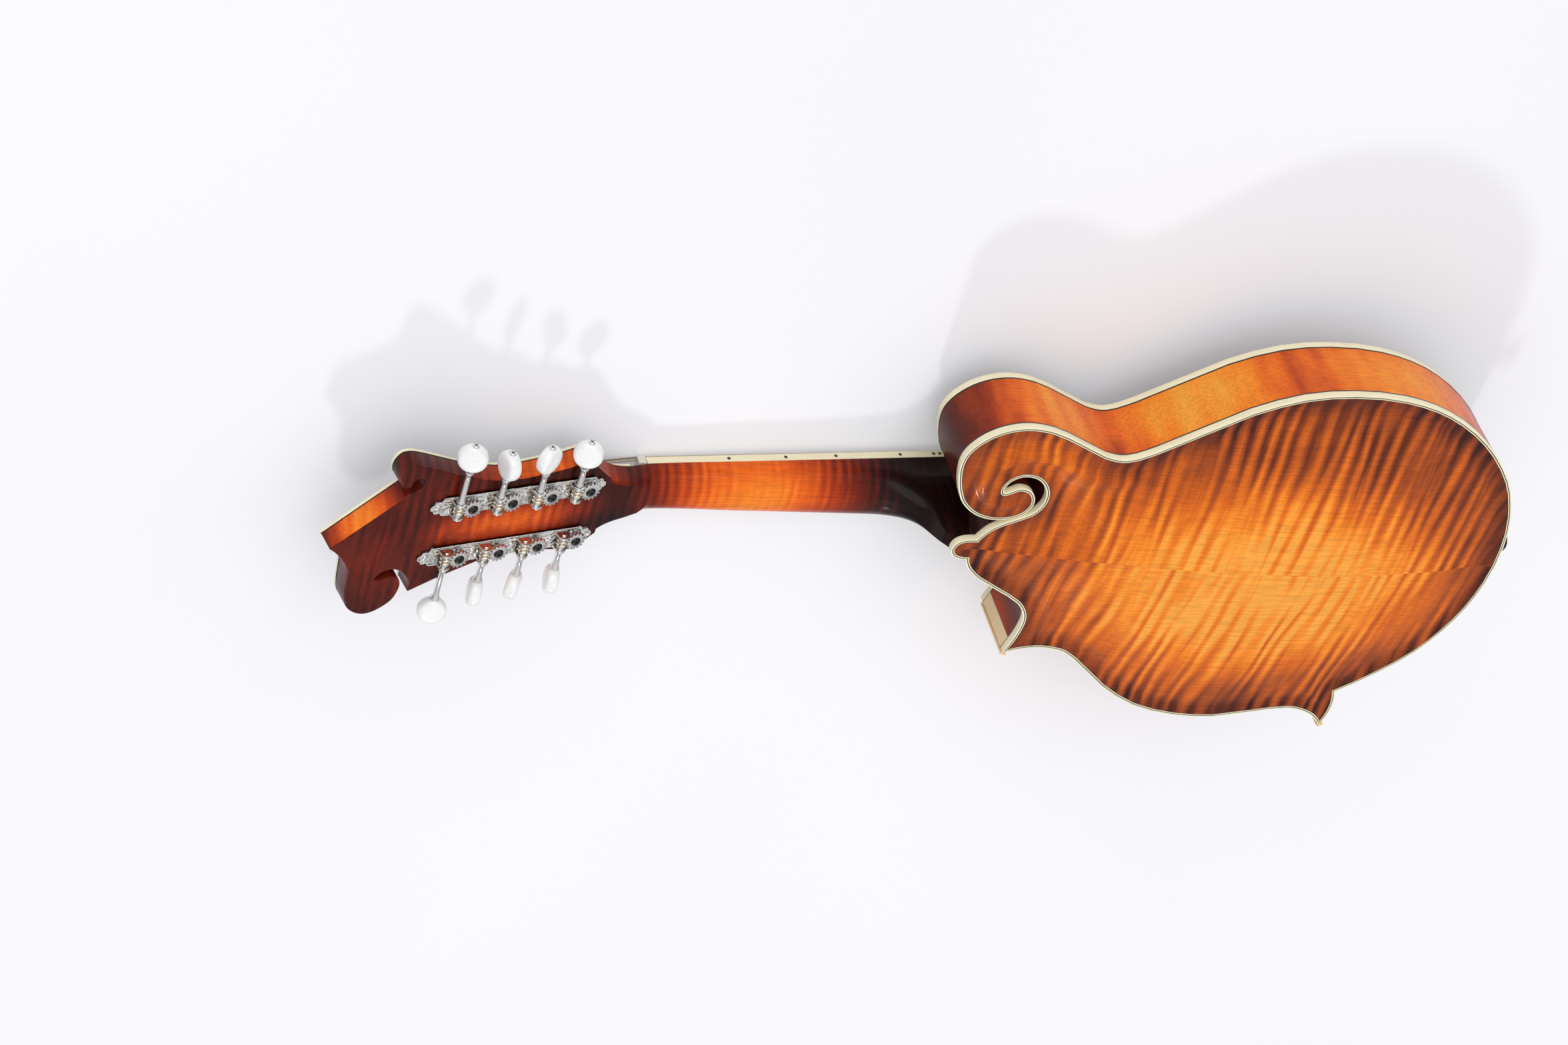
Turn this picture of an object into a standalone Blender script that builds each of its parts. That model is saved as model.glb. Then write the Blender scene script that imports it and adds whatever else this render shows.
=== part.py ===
# F-style mandolin, lying face down on its strings.
# Sizes are in millimetres in the body frame: x from the back button to the tail, y to the bass side,
# z out of the back. The last step tilts everything until the strings lie level on the ground.
import math

import bmesh
import bpy
from mathutils import Matrix, Vector
from mathutils.geometry import delaunay_2d_cdt

# Main sizes
SCALE = 352.4            # nut to bridge saddle, along the fingerboard
JOIN_X = 33.0            # fret 15 stands here, over the body's edge
DEPTH = 45.5             # outside depth of the body at its rim
PLATE_T = 4.2            # back and top at their edge
BACK_ARCH = 13.0
TOP_ARCH = 13.0
GAP = 0.3                # clearance between glued or seated pieces
FIT = 0.06               # radial clearance of a running fit

# Rim, binding and what is glued inside
BINDING_T = 1.9
RIB_OUT = 1.7
RIB_IN = 0.7
LINING_W = 5.0
LINING_H = 7.5
BLOCK_HALF = 32.0        # tail block, to each side
BLOCK_X = 322.0          # its inner face
F_LENGTH = 66.0

# Neck and fingerboard
NECK_ANGLE = math.radians(3.2)
BOARD_RISE = 4.5         # fingerboard face over the rim's front plane, at the nut
BOARD_T = 5.0
NUT_W = 28.6
JOIN_W = 41.0
BOARD_PAST = 4.5         # fingerboard past its last fret
BOARD_BINDING = 1.6
FRETS = 22
FRET_H = 1.0
FRET_W = 2.0
NUT_LEN = 4.6
NUT_STEP = 2.4           # outer side of the strings over the fingerboard, at the nut
SADDLE_STEP = 5.0        # the same at the saddle, over the fingerboard's plane
NECK_T = 12.4
HEEL_HALF = 5.2
RISER_X = 33.0           # from here on the neck only lies over the top plate
ROD_W = 5.0
ROD_H = 7.0

# Headstock, in its own frame: distance from the nut, y, and height out of the back face
HEAD_ANGLE = math.radians(14.0)
HEAD_BACK = 18.0         # back face over the fingerboard's face, at the nut
HEAD_T = 12.2
OVERLAY_T = 1.8
HEAD_BINDING = 1.5
OVERLAY_START = 7.2
COVER_T = 1.6

# Tuners
TUNERS = 4               # on each side
SHAFT_STEP = 23.0
FIRST_SHAFT = 49.0       # from the nut
POST_Y = 18.0
TEETH = 14
PITCH = 2.4
WORM_TURNS = 2.5
WORM_SIDES = 8
WORM_R = 2.9
WORM_ROOT = 2.0
THREAD_BASE = 1.15
SHAFT_R = 1.5
GEAR_TIP = 5.6
GEAR_ROOT = 4.35
GEAR_T = 2.4
WORM_H = 5.0             # worm axis over the headstock's back
CENTRES = 7.8            # worm axis to post axis
PLATE_W = 12.6
PLATE_NUT_END = 11.2     # from the first post
PLATE_TIP_END = 14.5     # from the last shaft
TUNER_PLATE_T = 1.2
LUG_T = 1.2
LUG_HALF = 3.2
LUG_IN = 4.1             # from the post line to a lug's inner face
POST_R = 2.4
POST_SLIM = 1.9
POST_OUT = 8.9           # post over the headstock's front
BUSH_R = 3.9
BUSH_OUT = 2.0
SEAT_Y = 19.0            # from the post line to the button's inner end
TIP_SEAT_Y = 28.0        # the same on the pair nearest the tip
BUTTON_L = 17.0
BUTTON_W = 16.2
BUTTON_T = 7.6
BUTTON_EDGE = 1.7
TANG_R = 1.1

# Bridge and tailpiece
POST_SPREAD = 23.0       # bridge posts to each side of the middle
BRIDGE_POST_R = 1.2
BRIDGE_HALF = 57.0
BRIDGE_W = 11.0
SADDLE_HALF = 33.0
SADDLE_W = 5.0
SADDLE_H = 5.6
WHEEL_R = 5.2
WHEEL_T = 2.4
WHEEL_TEETH = 12
HOOK_BACK = 42.0         # string hooks from the tail
TAIL_W = 38.0
TAIL_T = 1.4
COVER_WALL = 1.1
COVER_H = 11.5
PIN_R = 3.2
PIN_IN = 22.0
PIN_OUT = 13.0
BLUNT = 0.6              # a sharp point's offset stops at 1/0.6 of the distance

# Strings: radius of each course, and their places across the nut and the saddle
STRING_R = {"g": 0.50, "d": 0.33, "a": 0.20, "e": 0.16}
COURSES = ("g", "d", "a", "e")
NUT_SPREAD = 7.5
SADDLE_SPREAD = 12.4
PAIR_NUT = 2.0
PAIR_SADDLE = 2.8
TURNS = 1.5
TURN_POINTS = 20

NUT_X = JOIN_X - SCALE * (1 - 2 ** (-15 / 12))
BRIDGE_X = NUT_X + SCALE
BOARD_LEN = SCALE * (1 - 2 ** (-FRETS / 12)) + BOARD_PAST
TAIL_X = 342.0 + BINDING_T
MM = 0.001


def collection(name, hidden):
    made = bpy.data.collections.new(name)
    bpy.context.scene.collection.children.link(made)
    made.hide_render = hidden
    return made


for old in list(bpy.data.objects):
    bpy.data.objects.remove(old, do_unlink=True)
NODES = collection("Mandolin", False)
CUTTERS = collection("Cutters", True)
CARRIER = bpy.data.objects.new("carrier", None)
NODES.objects.link(CARRIER)


def material(name, colour, rough, metal=0.0, coat=0.0):
    made = bpy.data.materials.new(name)
    made.use_nodes = True
    shader = made.node_tree.nodes["Principled BSDF"]
    shader.inputs["Base Color"].default_value = (*colour, 1.0)
    shader.inputs["Roughness"].default_value = rough
    shader.inputs["Metallic"].default_value = metal
    shader.inputs["Coat Weight"].default_value = coat
    return made


MATERIALS = {
    "maple_back": material("maple_back", (0.55, 0.16, 0.03), 0.3, coat=0.6),
    "maple_rib": material("maple_rib", (0.75, 0.24, 0.04), 0.3, coat=0.6),
    "spruce_top": material("spruce_top", (0.72, 0.33, 0.08), 0.35, coat=0.6),
    "maple_neck": material("maple_neck", (0.36, 0.07, 0.02), 0.3, coat=0.6),
    "bare_wood": material("bare_wood", (0.62, 0.45, 0.26), 0.7),
    "binding": material("binding", (0.86, 0.78, 0.55), 0.35, coat=0.4),
    "ebony": material("ebony", (0.02, 0.017, 0.015), 0.4),
    "black_veneer": material("black_veneer", (0.012, 0.011, 0.01), 0.2, coat=0.6),
    "bone": material("bone", (0.86, 0.80, 0.66), 0.4),
    "steel": material("steel", (0.45, 0.45, 0.46), 0.4, metal=1.0),
    "nickel": material("nickel", (0.78, 0.77, 0.74), 0.2, metal=1.0),
    "wound_string": material("wound_string", (0.62, 0.50, 0.34), 0.35, metal=1.0),
    "plain_string": material("plain_string", (0.70, 0.70, 0.70), 0.25, metal=1.0),
    "pearloid": material("pearloid", (0.86, 0.86, 0.83), 0.25, coat=0.5),
    "black_plastic": material("black_plastic", (0.015, 0.015, 0.015), 0.3),
}

# Ways to place a flat outline: seen from the treble side, and seen from the tail.
SIDE_ON = Matrix.Rotation(math.pi / 2, 4, "X")
END_ON = Matrix(((0, 0, 1, 0), (1, 0, 0, 0), (0, 1, 0, 0), (0, 0, 0, 1)))


def in_metres(place):
    made = place.copy()
    made.translation = place.translation * MM
    return made


def new_object(name, data, place=None, cutter=False):
    obj = bpy.data.objects.new(name, data)
    (CUTTERS if cutter else NODES).objects.link(obj)
    obj.parent = CARRIER
    obj.matrix_basis = in_metres(place or Matrix.Identity(4))
    if cutter:
        obj.hide_render = True
        obj.display_type = "WIRE"
    return obj


def flat(name, rings, low, high, place=None, cutter=False):
    """Flat outlines with a thickness; an outline inside another one is a hole."""
    data = bpy.data.curves.new(name, "CURVE")
    data.dimensions = "2D"
    data.fill_mode = "BOTH"
    data.extrude = (high - low) / 2 * MM
    for ring in rings:
        spline = data.splines.new("POLY")
        spline.points.add(len(ring) - 1)
        for point, p in zip(spline.points, ring):
            point.co = (p[0] * MM, p[1] * MM, 0.0, 1.0)
        spline.use_cyclic_u = True
    lift = Matrix.Translation((0, 0, (low + high) / 2))
    return new_object(name, data, (place or Matrix.Identity(4)) @ lift, cutter)


def solid(obj):
    """A flat piece made a mesh, so that it can be cut, joined or bevelled."""
    bpy.context.view_layer.update()
    graph = bpy.context.evaluated_depsgraph_get()
    data = bpy.data.meshes.new_from_object(obj.evaluated_get(graph))
    bm = bmesh.new()
    bm.from_mesh(data)
    bmesh.ops.remove_doubles(bm, verts=bm.verts[:], dist=0.001 * MM)
    bmesh.ops.dissolve_limit(bm, angle_limit=0.001, verts=bm.verts[:], edges=bm.edges[:])
    bmesh.ops.recalc_face_normals(bm, faces=bm.faces[:])
    bm.to_mesh(data)
    bm.free()
    name = obj.name
    place = obj.matrix_basis.copy()
    cutter = obj.hide_render
    bpy.data.objects.remove(obj, do_unlink=True)
    made = new_object(name, data, None, cutter)
    made.matrix_basis = place
    return made


def turned(name, profile, sides, place=None, cutter=False):
    """A turned piece; its profile runs from the axis at the top down its outer side to the axis."""
    data = bpy.data.meshes.new(name)
    data.from_pydata([(r * MM, 0.0, h * MM) for r, h in profile],
                     [(i, i + 1) for i in range(len(profile) - 1)], [])
    obj = new_object(name, data, place, cutter)
    screw = obj.modifiers.new("turn", "SCREW")
    screw.angle = math.tau
    screw.steps = sides
    screw.render_steps = sides
    screw.use_merge_vertices = True
    screw.merge_threshold = 0.001 * MM
    return obj


def built(name, verts, faces, place=None, cutter=False):
    """A piece whose faces follow from its own rule."""
    data = bpy.data.meshes.new(name)
    data.from_pydata([Vector(v) * MM for v in verts], [], faces)
    bm = bmesh.new()
    bm.from_mesh(data)
    bmesh.ops.recalc_face_normals(bm, faces=bm.faces[:])
    bm.to_mesh(data)
    bm.free()
    return new_object(name, data, place, cutter)


def loft(name, sections, cutter=False):
    """A piece through sections that all have the same number of corners."""
    count = len(sections[0])
    verts = [v for section in sections for v in section]
    faces = [tuple(range(count)), tuple(range(len(verts) - count, len(verts)))]
    for first in range(0, len(verts) - count, count):
        for k in range(count):
            n = (k + 1) % count
            faces.append((first + k, first + n, first + count + n, first + count + k))
    return built(name, verts, faces, None, cutter)


def dress(obj, mat, smooth=None):
    obj.data.materials.append(MATERIALS[mat])
    if smooth is not None:
        obj.data.shade_smooth()
        obj.data.set_sharp_from_angle(angle=math.radians(smooth))
    return obj


def boolean(obj, other, how="DIFFERENCE"):
    step = obj.modifiers.new(how.lower(), "BOOLEAN")
    step.object = other
    step.operation = how
    step.solver = "EXACT"


def circle(x, y, r, sides):
    """Corners of a regular outline; r reaches its corners."""
    return [(x + r * math.cos(math.tau * k / sides), y + r * math.sin(math.tau * k / sides)) for k in range(sides)]


def around(r, sides):
    """Corner radius of a regular hole whose sides stay r from its middle."""
    return r / math.cos(math.pi / sides)


# Outlines

def curve_through(knots, bend=23.0):
    """Points on a smooth curve through the knots, closer together where it bends more."""
    pts = [Vector(k) for k in knots]
    count = len(pts)
    tangents = []
    for i in range(count):
        before = pts[max(i - 1, 0)]
        after = pts[min(i + 1, count - 1)]
        tangents.append((after - before).normalized())
    if count > 2:
        tangents[0] = (2 * (pts[1] - pts[0]).normalized() - tangents[1]).normalized()
        tangents[-1] = (2 * (pts[-1] - pts[-2]).normalized() - tangents[-2]).normalized()
    out = [pts[0]]
    for i in range(count - 1):
        span = (pts[i + 1] - pts[i]).length
        turn = math.degrees(tangents[i].angle(tangents[i + 1], 0.0))
        steps = max(1, math.ceil(turn / bend))
        for k in range(1, steps + 1):
            t = k / steps
            a = 2 * t ** 3 - 3 * t ** 2 + 1
            b = t ** 3 - 2 * t ** 2 + t
            c = -2 * t ** 3 + 3 * t ** 2
            d = t ** 3 - t ** 2
            out.append(a * pts[i] + b * span * tangents[i] + c * pts[i + 1] + d * span * tangents[i + 1])
    return out


def chain(*runs):
    """Several runs, each starting where the last one ends, as one line."""
    out = []
    for run in runs:
        out += run if not out else run[1:]
    return out


def offset(poly, out, closed=True):
    """The line moved out by a distance, on the right-hand side of its direction."""
    count = len(poly)
    moved = []
    for i, p in enumerate(poly):
        before = poly[i - 1] if closed or i else None
        after = poly[(i + 1) % count] if closed or i < count - 1 else None
        sides = []
        for a, b in ((before, p), (p, after)):
            if a is not None and b is not None:
                way = (b - a).normalized()
                sides.append(Vector((way.y, -way.x)))
        if len(sides) == 1:
            moved.append(p + sides[0] * out)
            continue
        mitre = (sides[0] + sides[1]).normalized()
        moved.append(p + mitre * out / max(mitre.dot(sides[0]), BLUNT))
    return moved


def inside(p, poly):
    hit = False
    for a, b in zip(poly, poly[1:] + poly[:1]):
        if (a.y > p.y) != (b.y > p.y) and p.x < (b.x - a.x) * (p.y - a.y) / (b.y - a.y) + a.x:
            hit = not hit
    return hit


def edge_distance(p, poly, closed=True):
    best = 1e9
    ends = poly[1:] + poly[:1] if closed else poly[1:]
    for a, b in zip(poly, ends):
        way = b - a
        t = min(1.0, max(0.0, (p - a).dot(way) / max(way.length_squared, 1e-9)))
        best = min(best, (p - a - way * t).length)
    return best


CORNER_BASS = (12.0, 6.0)
CORNER_TREBLE = (10.7, -5.6)
TREBLE_SHOULDER = curve_through([CORNER_TREBLE, (13.6, -12.4), (21.7, -20.0), (36.8, -28.9), (52.2, -38.5),
                                 (60.0, -49.6), (60.6, -62.5), (57.0, -77.1)])
TREBLE_BOUT = curve_through([(57.0, -77.1), (65.0, -74.4), (78.0, -73.0), (94.1, -76.7), (109.0, -88.0),
                             (128.0, -104.2), (153.0, -119.2), (181.1, -126.8), (208.0, -128.0),
                             (233.1, -123.3), (256.0, -119.7), (272.5, -124.4), (282.2, -132.8)])
LOWER_POINT = curve_through([(282.2, -132.8), (283.4, -119.0), (279.9, -106.0)])
BODY_AND_SCROLL = curve_through([
    (279.9, -106.0), (301.0, -90.0), (320.5, -70.5), (335.4, -43.0), (342.0, -13.0), (341.0, 15.0),
    (335.0, 39.0), (321.0, 66.0), (295.0, 93.0), (264.0, 112.0), (232.0, 121.4), (200.0, 123.0),
    (171.2, 118.8), (143.1, 107.0), (117.2, 89.8), (97.8, 76.8), (81.0, 69.1), (66.0, 71.4), (48.5, 79.6),
    (31.0, 86.9), (13.0, 88.7), (-3.0, 82.6), (-13.2, 70.0), (-13.4, 56.0), (-6.6, 38.4), (2.2, 29.6),
    (11.5, 25.6), (21.0, 25.2), (29.6, 28.2), (34.0, 35.0), (31.4, 42.6), (25.0, 45.2), (19.6, 42.6),
    (16.4, 41.4), (13.8, 43.0), (13.4, 47.8), (16.6, 53.6), (24.0, 57.2), (34.0, 55.0), (41.6, 46.4),
    (43.0, 36.0), (38.2, 27.4), (28.3, 21.6), (18.6, 15.8), CORNER_BASS])
BUTTON_TIP = curve_through([CORNER_BASS, (6.0, 5.9), (1.6, 3.9), (0.0, 0.0), (1.6, -3.4), (5.4, -5.2),
                            CORNER_TREBLE], bend=24.0)


def without_last(poly):
    return poly[:-1] if (poly[0] - poly[-1]).length < 1e-6 else poly


# Both run anticlockwise seen from the back, so that a positive offset goes outwards.
FRONT_LINE = chain(TREBLE_SHOULDER, TREBLE_BOUT, LOWER_POINT, BODY_AND_SCROLL)
BACK_LINE = without_last(chain(FRONT_LINE, BUTTON_TIP))


def board_z(x):
    """Height of the fingerboard's face."""
    return -(DEPTH + BOARD_RISE) - math.tan(NECK_ANGLE) * (x - NUT_X)


def under_board(x):
    return board_z(x) + (BOARD_T + GAP) / math.cos(NECK_ANGLE)


def board_half(x):
    return NUT_W / 2 + (JOIN_W - NUT_W) / 2 * (x - NUT_X) / (JOIN_X - NUT_X)


def string_line(x):
    """Outer side of the strings, from the nut to the saddle."""
    at_nut = board_z(NUT_X) - NUT_STEP
    at_saddle = board_z(BRIDGE_X) - SADDLE_STEP
    return at_nut + (at_saddle - at_nut) * (x - NUT_X) / SCALE


def ease(t):
    t = min(1.0, max(0.0, t))
    return t * t * (3 - 2 * t)


def arch(p, height):
    """Rise of a carved plate over its flat edge: a slow start near the edge, then a dome."""
    d = edge_distance(p, FRONT_LINE) - 6.0
    return height * (0.3 * ease(d / 40.0) + 0.7 * ease(d / 112.0))


def top_face(x, y):
    return -DEPTH - arch(Vector((x, y)), TOP_ARCH)


def clip(poly, side_of):
    """The part of an outline where side_of is positive."""
    out = []
    for a, b in zip(poly, poly[1:] + poly[:1]):
        at_a, at_b = side_of(a), side_of(b)
        if at_a >= 0:
            out.append(a)
        if (at_a >= 0) != (at_b >= 0):
            out.append(a + (b - a) * at_a / (at_a - at_b))
    return out


# Body

def f_hole(side):
    """A stroke along an S, wide at its middle and round at its ends."""
    steps = 9
    left = []
    right = []
    for i in range(steps + 1):
        t = i / steps
        u = F_LENGTH * (t - 0.5)
        v = 6.0 * (2 * t - 1) - 7.0 * math.sin(math.pi * (2 * t - 1))
        slope = (12.0 - 14.0 * math.pi * math.cos(math.pi * (2 * t - 1))) / F_LENGTH
        half = 1.3 + 1.5 * math.sin(math.pi * t) + 2.2 * math.exp(-(min(t, 1 - t) / 0.09) ** 2)
        way = Vector((1.0, slope)).normalized()
        across = Vector((-way.y, way.x)) * half
        left.append(Vector((u, v)) + across)
        right.append(Vector((u, v)) - across)
    turned_by = math.radians(10.0)
    cos, sin = math.cos(turned_by), math.sin(turned_by)
    return [Vector((BRIDGE_X + 2.0 + p.x * cos - p.y * sin, side * (57.0 + p.x * sin + p.y * cos)))
            for p in left + right[::-1]]


def inner_points(line, holes, step):
    """Inner points of a carved plate, in rows that stay clear of its edge and holes."""
    out = []
    row = 0
    y = -132.0
    while y < 128.0:
        x = -16.0 + (step / 2 if row % 2 else 0.0)
        while x < 345.0:
            p = Vector((x, y))
            if inside(p, line) and edge_distance(p, line) > 0.42 * step:
                if all(edge_distance(p, h) > 5.0 and not inside(p, h) for h in holes):
                    out.append(p)
            x += step
        y += step * 0.87
        row += 1
    return out


def carved_plate(name, line, holes, step, face_z, back_z):
    """A plate between two carved faces: one pattern of triangles over its outline, at two heights."""
    points = list(line)
    edges = [(i, (i + 1) % len(line)) for i in range(len(line))]
    for hole in holes:
        base = len(points)
        points += hole
        edges += [(base + i, base + (i + 1) % len(hole)) for i in range(len(hole))]
    points += inner_points(line, holes, step)
    points, _, found, _, _, _ = delaunay_2d_cdt(points, edges, [], 0, 0.00001)
    tris = []
    for tri in found:
        middle = (points[tri[0]] + points[tri[1]] + points[tri[2]]) / 3
        if inside(middle, line) and not any(inside(middle, hole) for hole in holes):
            tris.append(tuple(tri))
    count = len(points)
    verts = [(p.x, p.y, face_z(p)) for p in points] + [(p.x, p.y, back_z(p)) for p in points]
    faces = tris + [(count + a, count + c, count + b) for a, b, c in tris]
    sides = {(a, b) for tri in tris for a, b in zip(tri, tri[1:] + tri[:1])}
    for a, b in sorted(sides):
        if (b, a) not in sides:
            faces.append((b, a, count + a, count + b))
    return built(name, verts, faces)


def band_between(line, out, far):
    """An open strip along a line, between two offsets from it."""
    return offset(line, out, False) + offset(line, far, False)[::-1]


def make_body():
    back_in = offset(BACK_LINE, -GAP)
    front_in = offset(FRONT_LINE, -GAP)
    holes = [f_hole(1), f_hole(-1)]
    dress(carved_plate("back_plate", back_in, [], 25.0, lambda p: arch(p, BACK_ARCH),
                       lambda p: arch(p, BACK_ARCH) - PLATE_T), "maple_back", 40)
    dress(carved_plate("top_plate", front_in, holes, 25.0, lambda p: -DEPTH - arch(p, TOP_ARCH),
                       lambda p: -DEPTH - arch(p, TOP_ARCH) + PLATE_T), "spruce_top", 40)
    back_binding = solid(flat("back_binding", [offset(BACK_LINE, BINDING_T), BACK_LINE], -PLATE_T, 0.0))
    dress(back_binding, "binding")
    dress(flat("top_binding", [offset(FRONT_LINE, BINDING_T), FRONT_LINE], -DEPTH, -DEPTH + PLATE_T), "binding")
    join_point_strips(back_binding)
    low, high = -DEPTH + PLATE_T + GAP, -PLATE_T - GAP
    bore = flat("pin_bore", [circle(0.0, -DEPTH / 2, PIN_R + GAP, 12)], TAIL_X - PIN_IN - 4.0, TAIL_X + 8.0,
                END_ON, cutter=True)
    bore = solid(bore)
    rim = dress(solid(flat("rim", [band_between(FRONT_LINE, RIB_OUT, -RIB_IN)], low, high)), "maple_rib")
    boolean(rim, bore)
    make_blocks_and_linings(low, high, bore)
    make_tone_bars()
    return bore


def join_point_strips(binding):
    """The blunt end strip down each of the two body points, held at its top by the binding."""
    for number, (tip, back) in enumerate((((57.0, -77.1), (60.6, -66.0)), ((282.2, -132.8), (276.6, -122.0)))):
        way = (Vector(tip) - Vector(back)).normalized()
        side = Vector((way.y, -way.x))
        foot = Vector(tip) + way * (RIB_OUT / BLUNT + GAP)
        strip = [foot + side * 2.8, foot + side * 2.0 + way * 1.8, foot - side * 2.0 + way * 1.8, foot - side * 2.8]
        piece = solid(flat(f"point_strip_{number}", [strip], -DEPTH + PLATE_T + GAP, -0.4, cutter=True))
        boolean(binding, piece, "UNION")
        root = foot - way * 2.4
        tie = [root + side * 1.2, foot + way + side * 1.2, foot + way - side * 1.2, root - side * 1.2]
        boolean(binding, solid(flat(f"point_tie_{number}", [tie], -PLATE_T + 0.6, -1.0, cutter=True)), "UNION")


def make_blocks_and_linings(low, high, bore):
    line = offset(FRONT_LINE, -RIB_IN - GAP)
    head = clip(line, lambda p: 48.0 - p.x)
    dress(flat("head_block", [head], low, high), "bare_wood")
    deep = -RIB_IN - GAP - LINING_W
    body_run = [p for p in BODY_AND_SCROLL if p.x > 52.0 and p.y > -98.0]
    waist_run = [p for p in TREBLE_BOUT if 75.0 < p.x < 257.0]
    tail = clip(clip(clip(line, lambda p: p.x - BLOCK_X), lambda p: BLOCK_HALF - p.y), lambda p: BLOCK_HALF + p.y)
    tail_block = dress(solid(flat("tail_block", [tail], low, high)), "bare_wood")
    boolean(tail_block, bore)
    for name, bottom in (("back", high - GAP - LINING_H), ("top", low + GAP)):
        for run_name, run in (("body", body_run), ("waist", waist_run)):
            strip = band_between(run, -RIB_IN - GAP, deep)
            dress(flat(f"lining_{name}_{run_name}", [strip], bottom, bottom + LINING_H), "bare_wood")
        # The lining runs past the tail block in a notch.
        reach = [p for p in body_run if p.x > BLOCK_X - 22.0]
        notch = flat(f"notch_{name}", [band_between(reach, 2.0, deep - GAP)], bottom - (GAP if name == "back" else 6.0),
                     bottom + LINING_H + (6.0 if name == "back" else GAP), cutter=True)
        boolean(tail_block, solid(notch))
    for name, x0, x1, y0 in (("upper_point_block", 49.5, 72.0, -60.0), ("lower_point_block", 262.0, 283.0, -108.0)):
        block = clip(clip(clip(line, lambda p: p.x - x0), lambda p: x1 - p.x), lambda p: y0 - p.y)
        dress(flat(name, [block], low, high), "bare_wood")


def make_tone_bars():
    for name, side in (("tone_bar_bass", 1), ("tone_bar_treble", -1)):
        sections = []
        for i in range(7):
            x = 96.0 + 30.0 * i
            y = side * (24.0 + 1.6 * i)
            z = max(-DEPTH - arch(Vector((x, y + near)), TOP_ARCH) for near in (-3.0, 3.0)) + PLATE_T + GAP
            drop = 3.0 + 7.0 * math.sin(math.pi * i / 6)
            sections.append([(x, y - 3, z), (x, y + 3, z), (x, y + 3, z + drop * 0.6), (x, y, z + drop),
                             (x, y - 3, z + drop * 0.6)])
        dress(loft(name, sections), "bare_wood")


# Neck and headstock

def head_frame():
    """The headstock's frame: x back towards the body, y, and z out of its back face, from the nut."""
    place = Matrix.Translation((NUT_X, 0.0, board_z(NUT_X) + HEAD_BACK))
    return place @ Matrix.Rotation(HEAD_ANGLE, 4, "Y")


HEAD = head_frame()
BOARD = Matrix.Translation((NUT_X, 0.0, board_z(NUT_X))) @ Matrix.Rotation(NECK_ANGLE, 4, "Y")

# Distances from the nut first; the treble side, the tip, then the bass side.
HEAD_KNOTS = without_last(chain(
    curve_through([(-3.0, -14.2), (9.0, -14.4), (20.0, -16.8), (29.5, -23.0), (36.6, -30.5)]),
    curve_through([(36.6, -30.5), (54.0, -27.4), (76.0, -25.4), (96.0, -28.4), (132.5, -43.0)]),
    curve_through([(132.5, -43.0), (134.2, -34.0), (140.6, -26.0), (148.6, -24.6), (154.4, -29.6)], bend=28.0),
    curve_through([(154.4, -29.6), (150.6, -31.0), (144.8, -29.6), (139.8, -31.8), (138.0, -39.4), (142.0, -49.0),
                   (154.8, -54.9), (166.0, -48.2), (169.6, -36.0), (170.6, -22.0), (176.0, -11.0),
                   (184.5, -2.1)], bend=32.0),
    curve_through([(184.5, -2.1), (145.6, 29.6)]),
    curve_through([(145.6, 29.6), (140.6, 32.0), (138.6, 36.6), (141.6, 39.4), (145.0, 38.0), (146.2, 34.4),
                   (151.0, 35.0), (152.4, 42.4), (147.6, 48.4), (135.6, 45.4), (115.0, 36.4), (92.0, 29.6),
                   (66.0, 30.4), (41.0, 35.4)], bend=34.0),
    curve_through([(41.0, 35.4), (33.6, 26.6), (23.0, 18.0), (9.0, 14.4), (-3.0, 14.2)])))
HEAD_LINE = [Vector((-p.x, p.y)) for p in reversed(HEAD_KNOTS)]


def post_places():
    return [(CENTRES - FIRST_SHAFT - SHAFT_STEP * i, side * POST_Y) for side in (1, -1) for i in range(TUNERS)]


LEVELS = (0.0, 0.3, 0.58, 0.8, 0.94, 1.0)


def cut_across(x, top, depth, width_at):
    """One section of the neck; width_at gives the half width at each share of the depth."""
    side = [(width_at(s), top + depth * s) for s in LEVELS]
    return [(x, y, z) for y, z in side] + [(x, -y, z) for y, z in reversed(side)]


def round_width(s):
    return max(math.sqrt(max(0.0, 1 - s ** 2.2)), 0.12)


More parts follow.
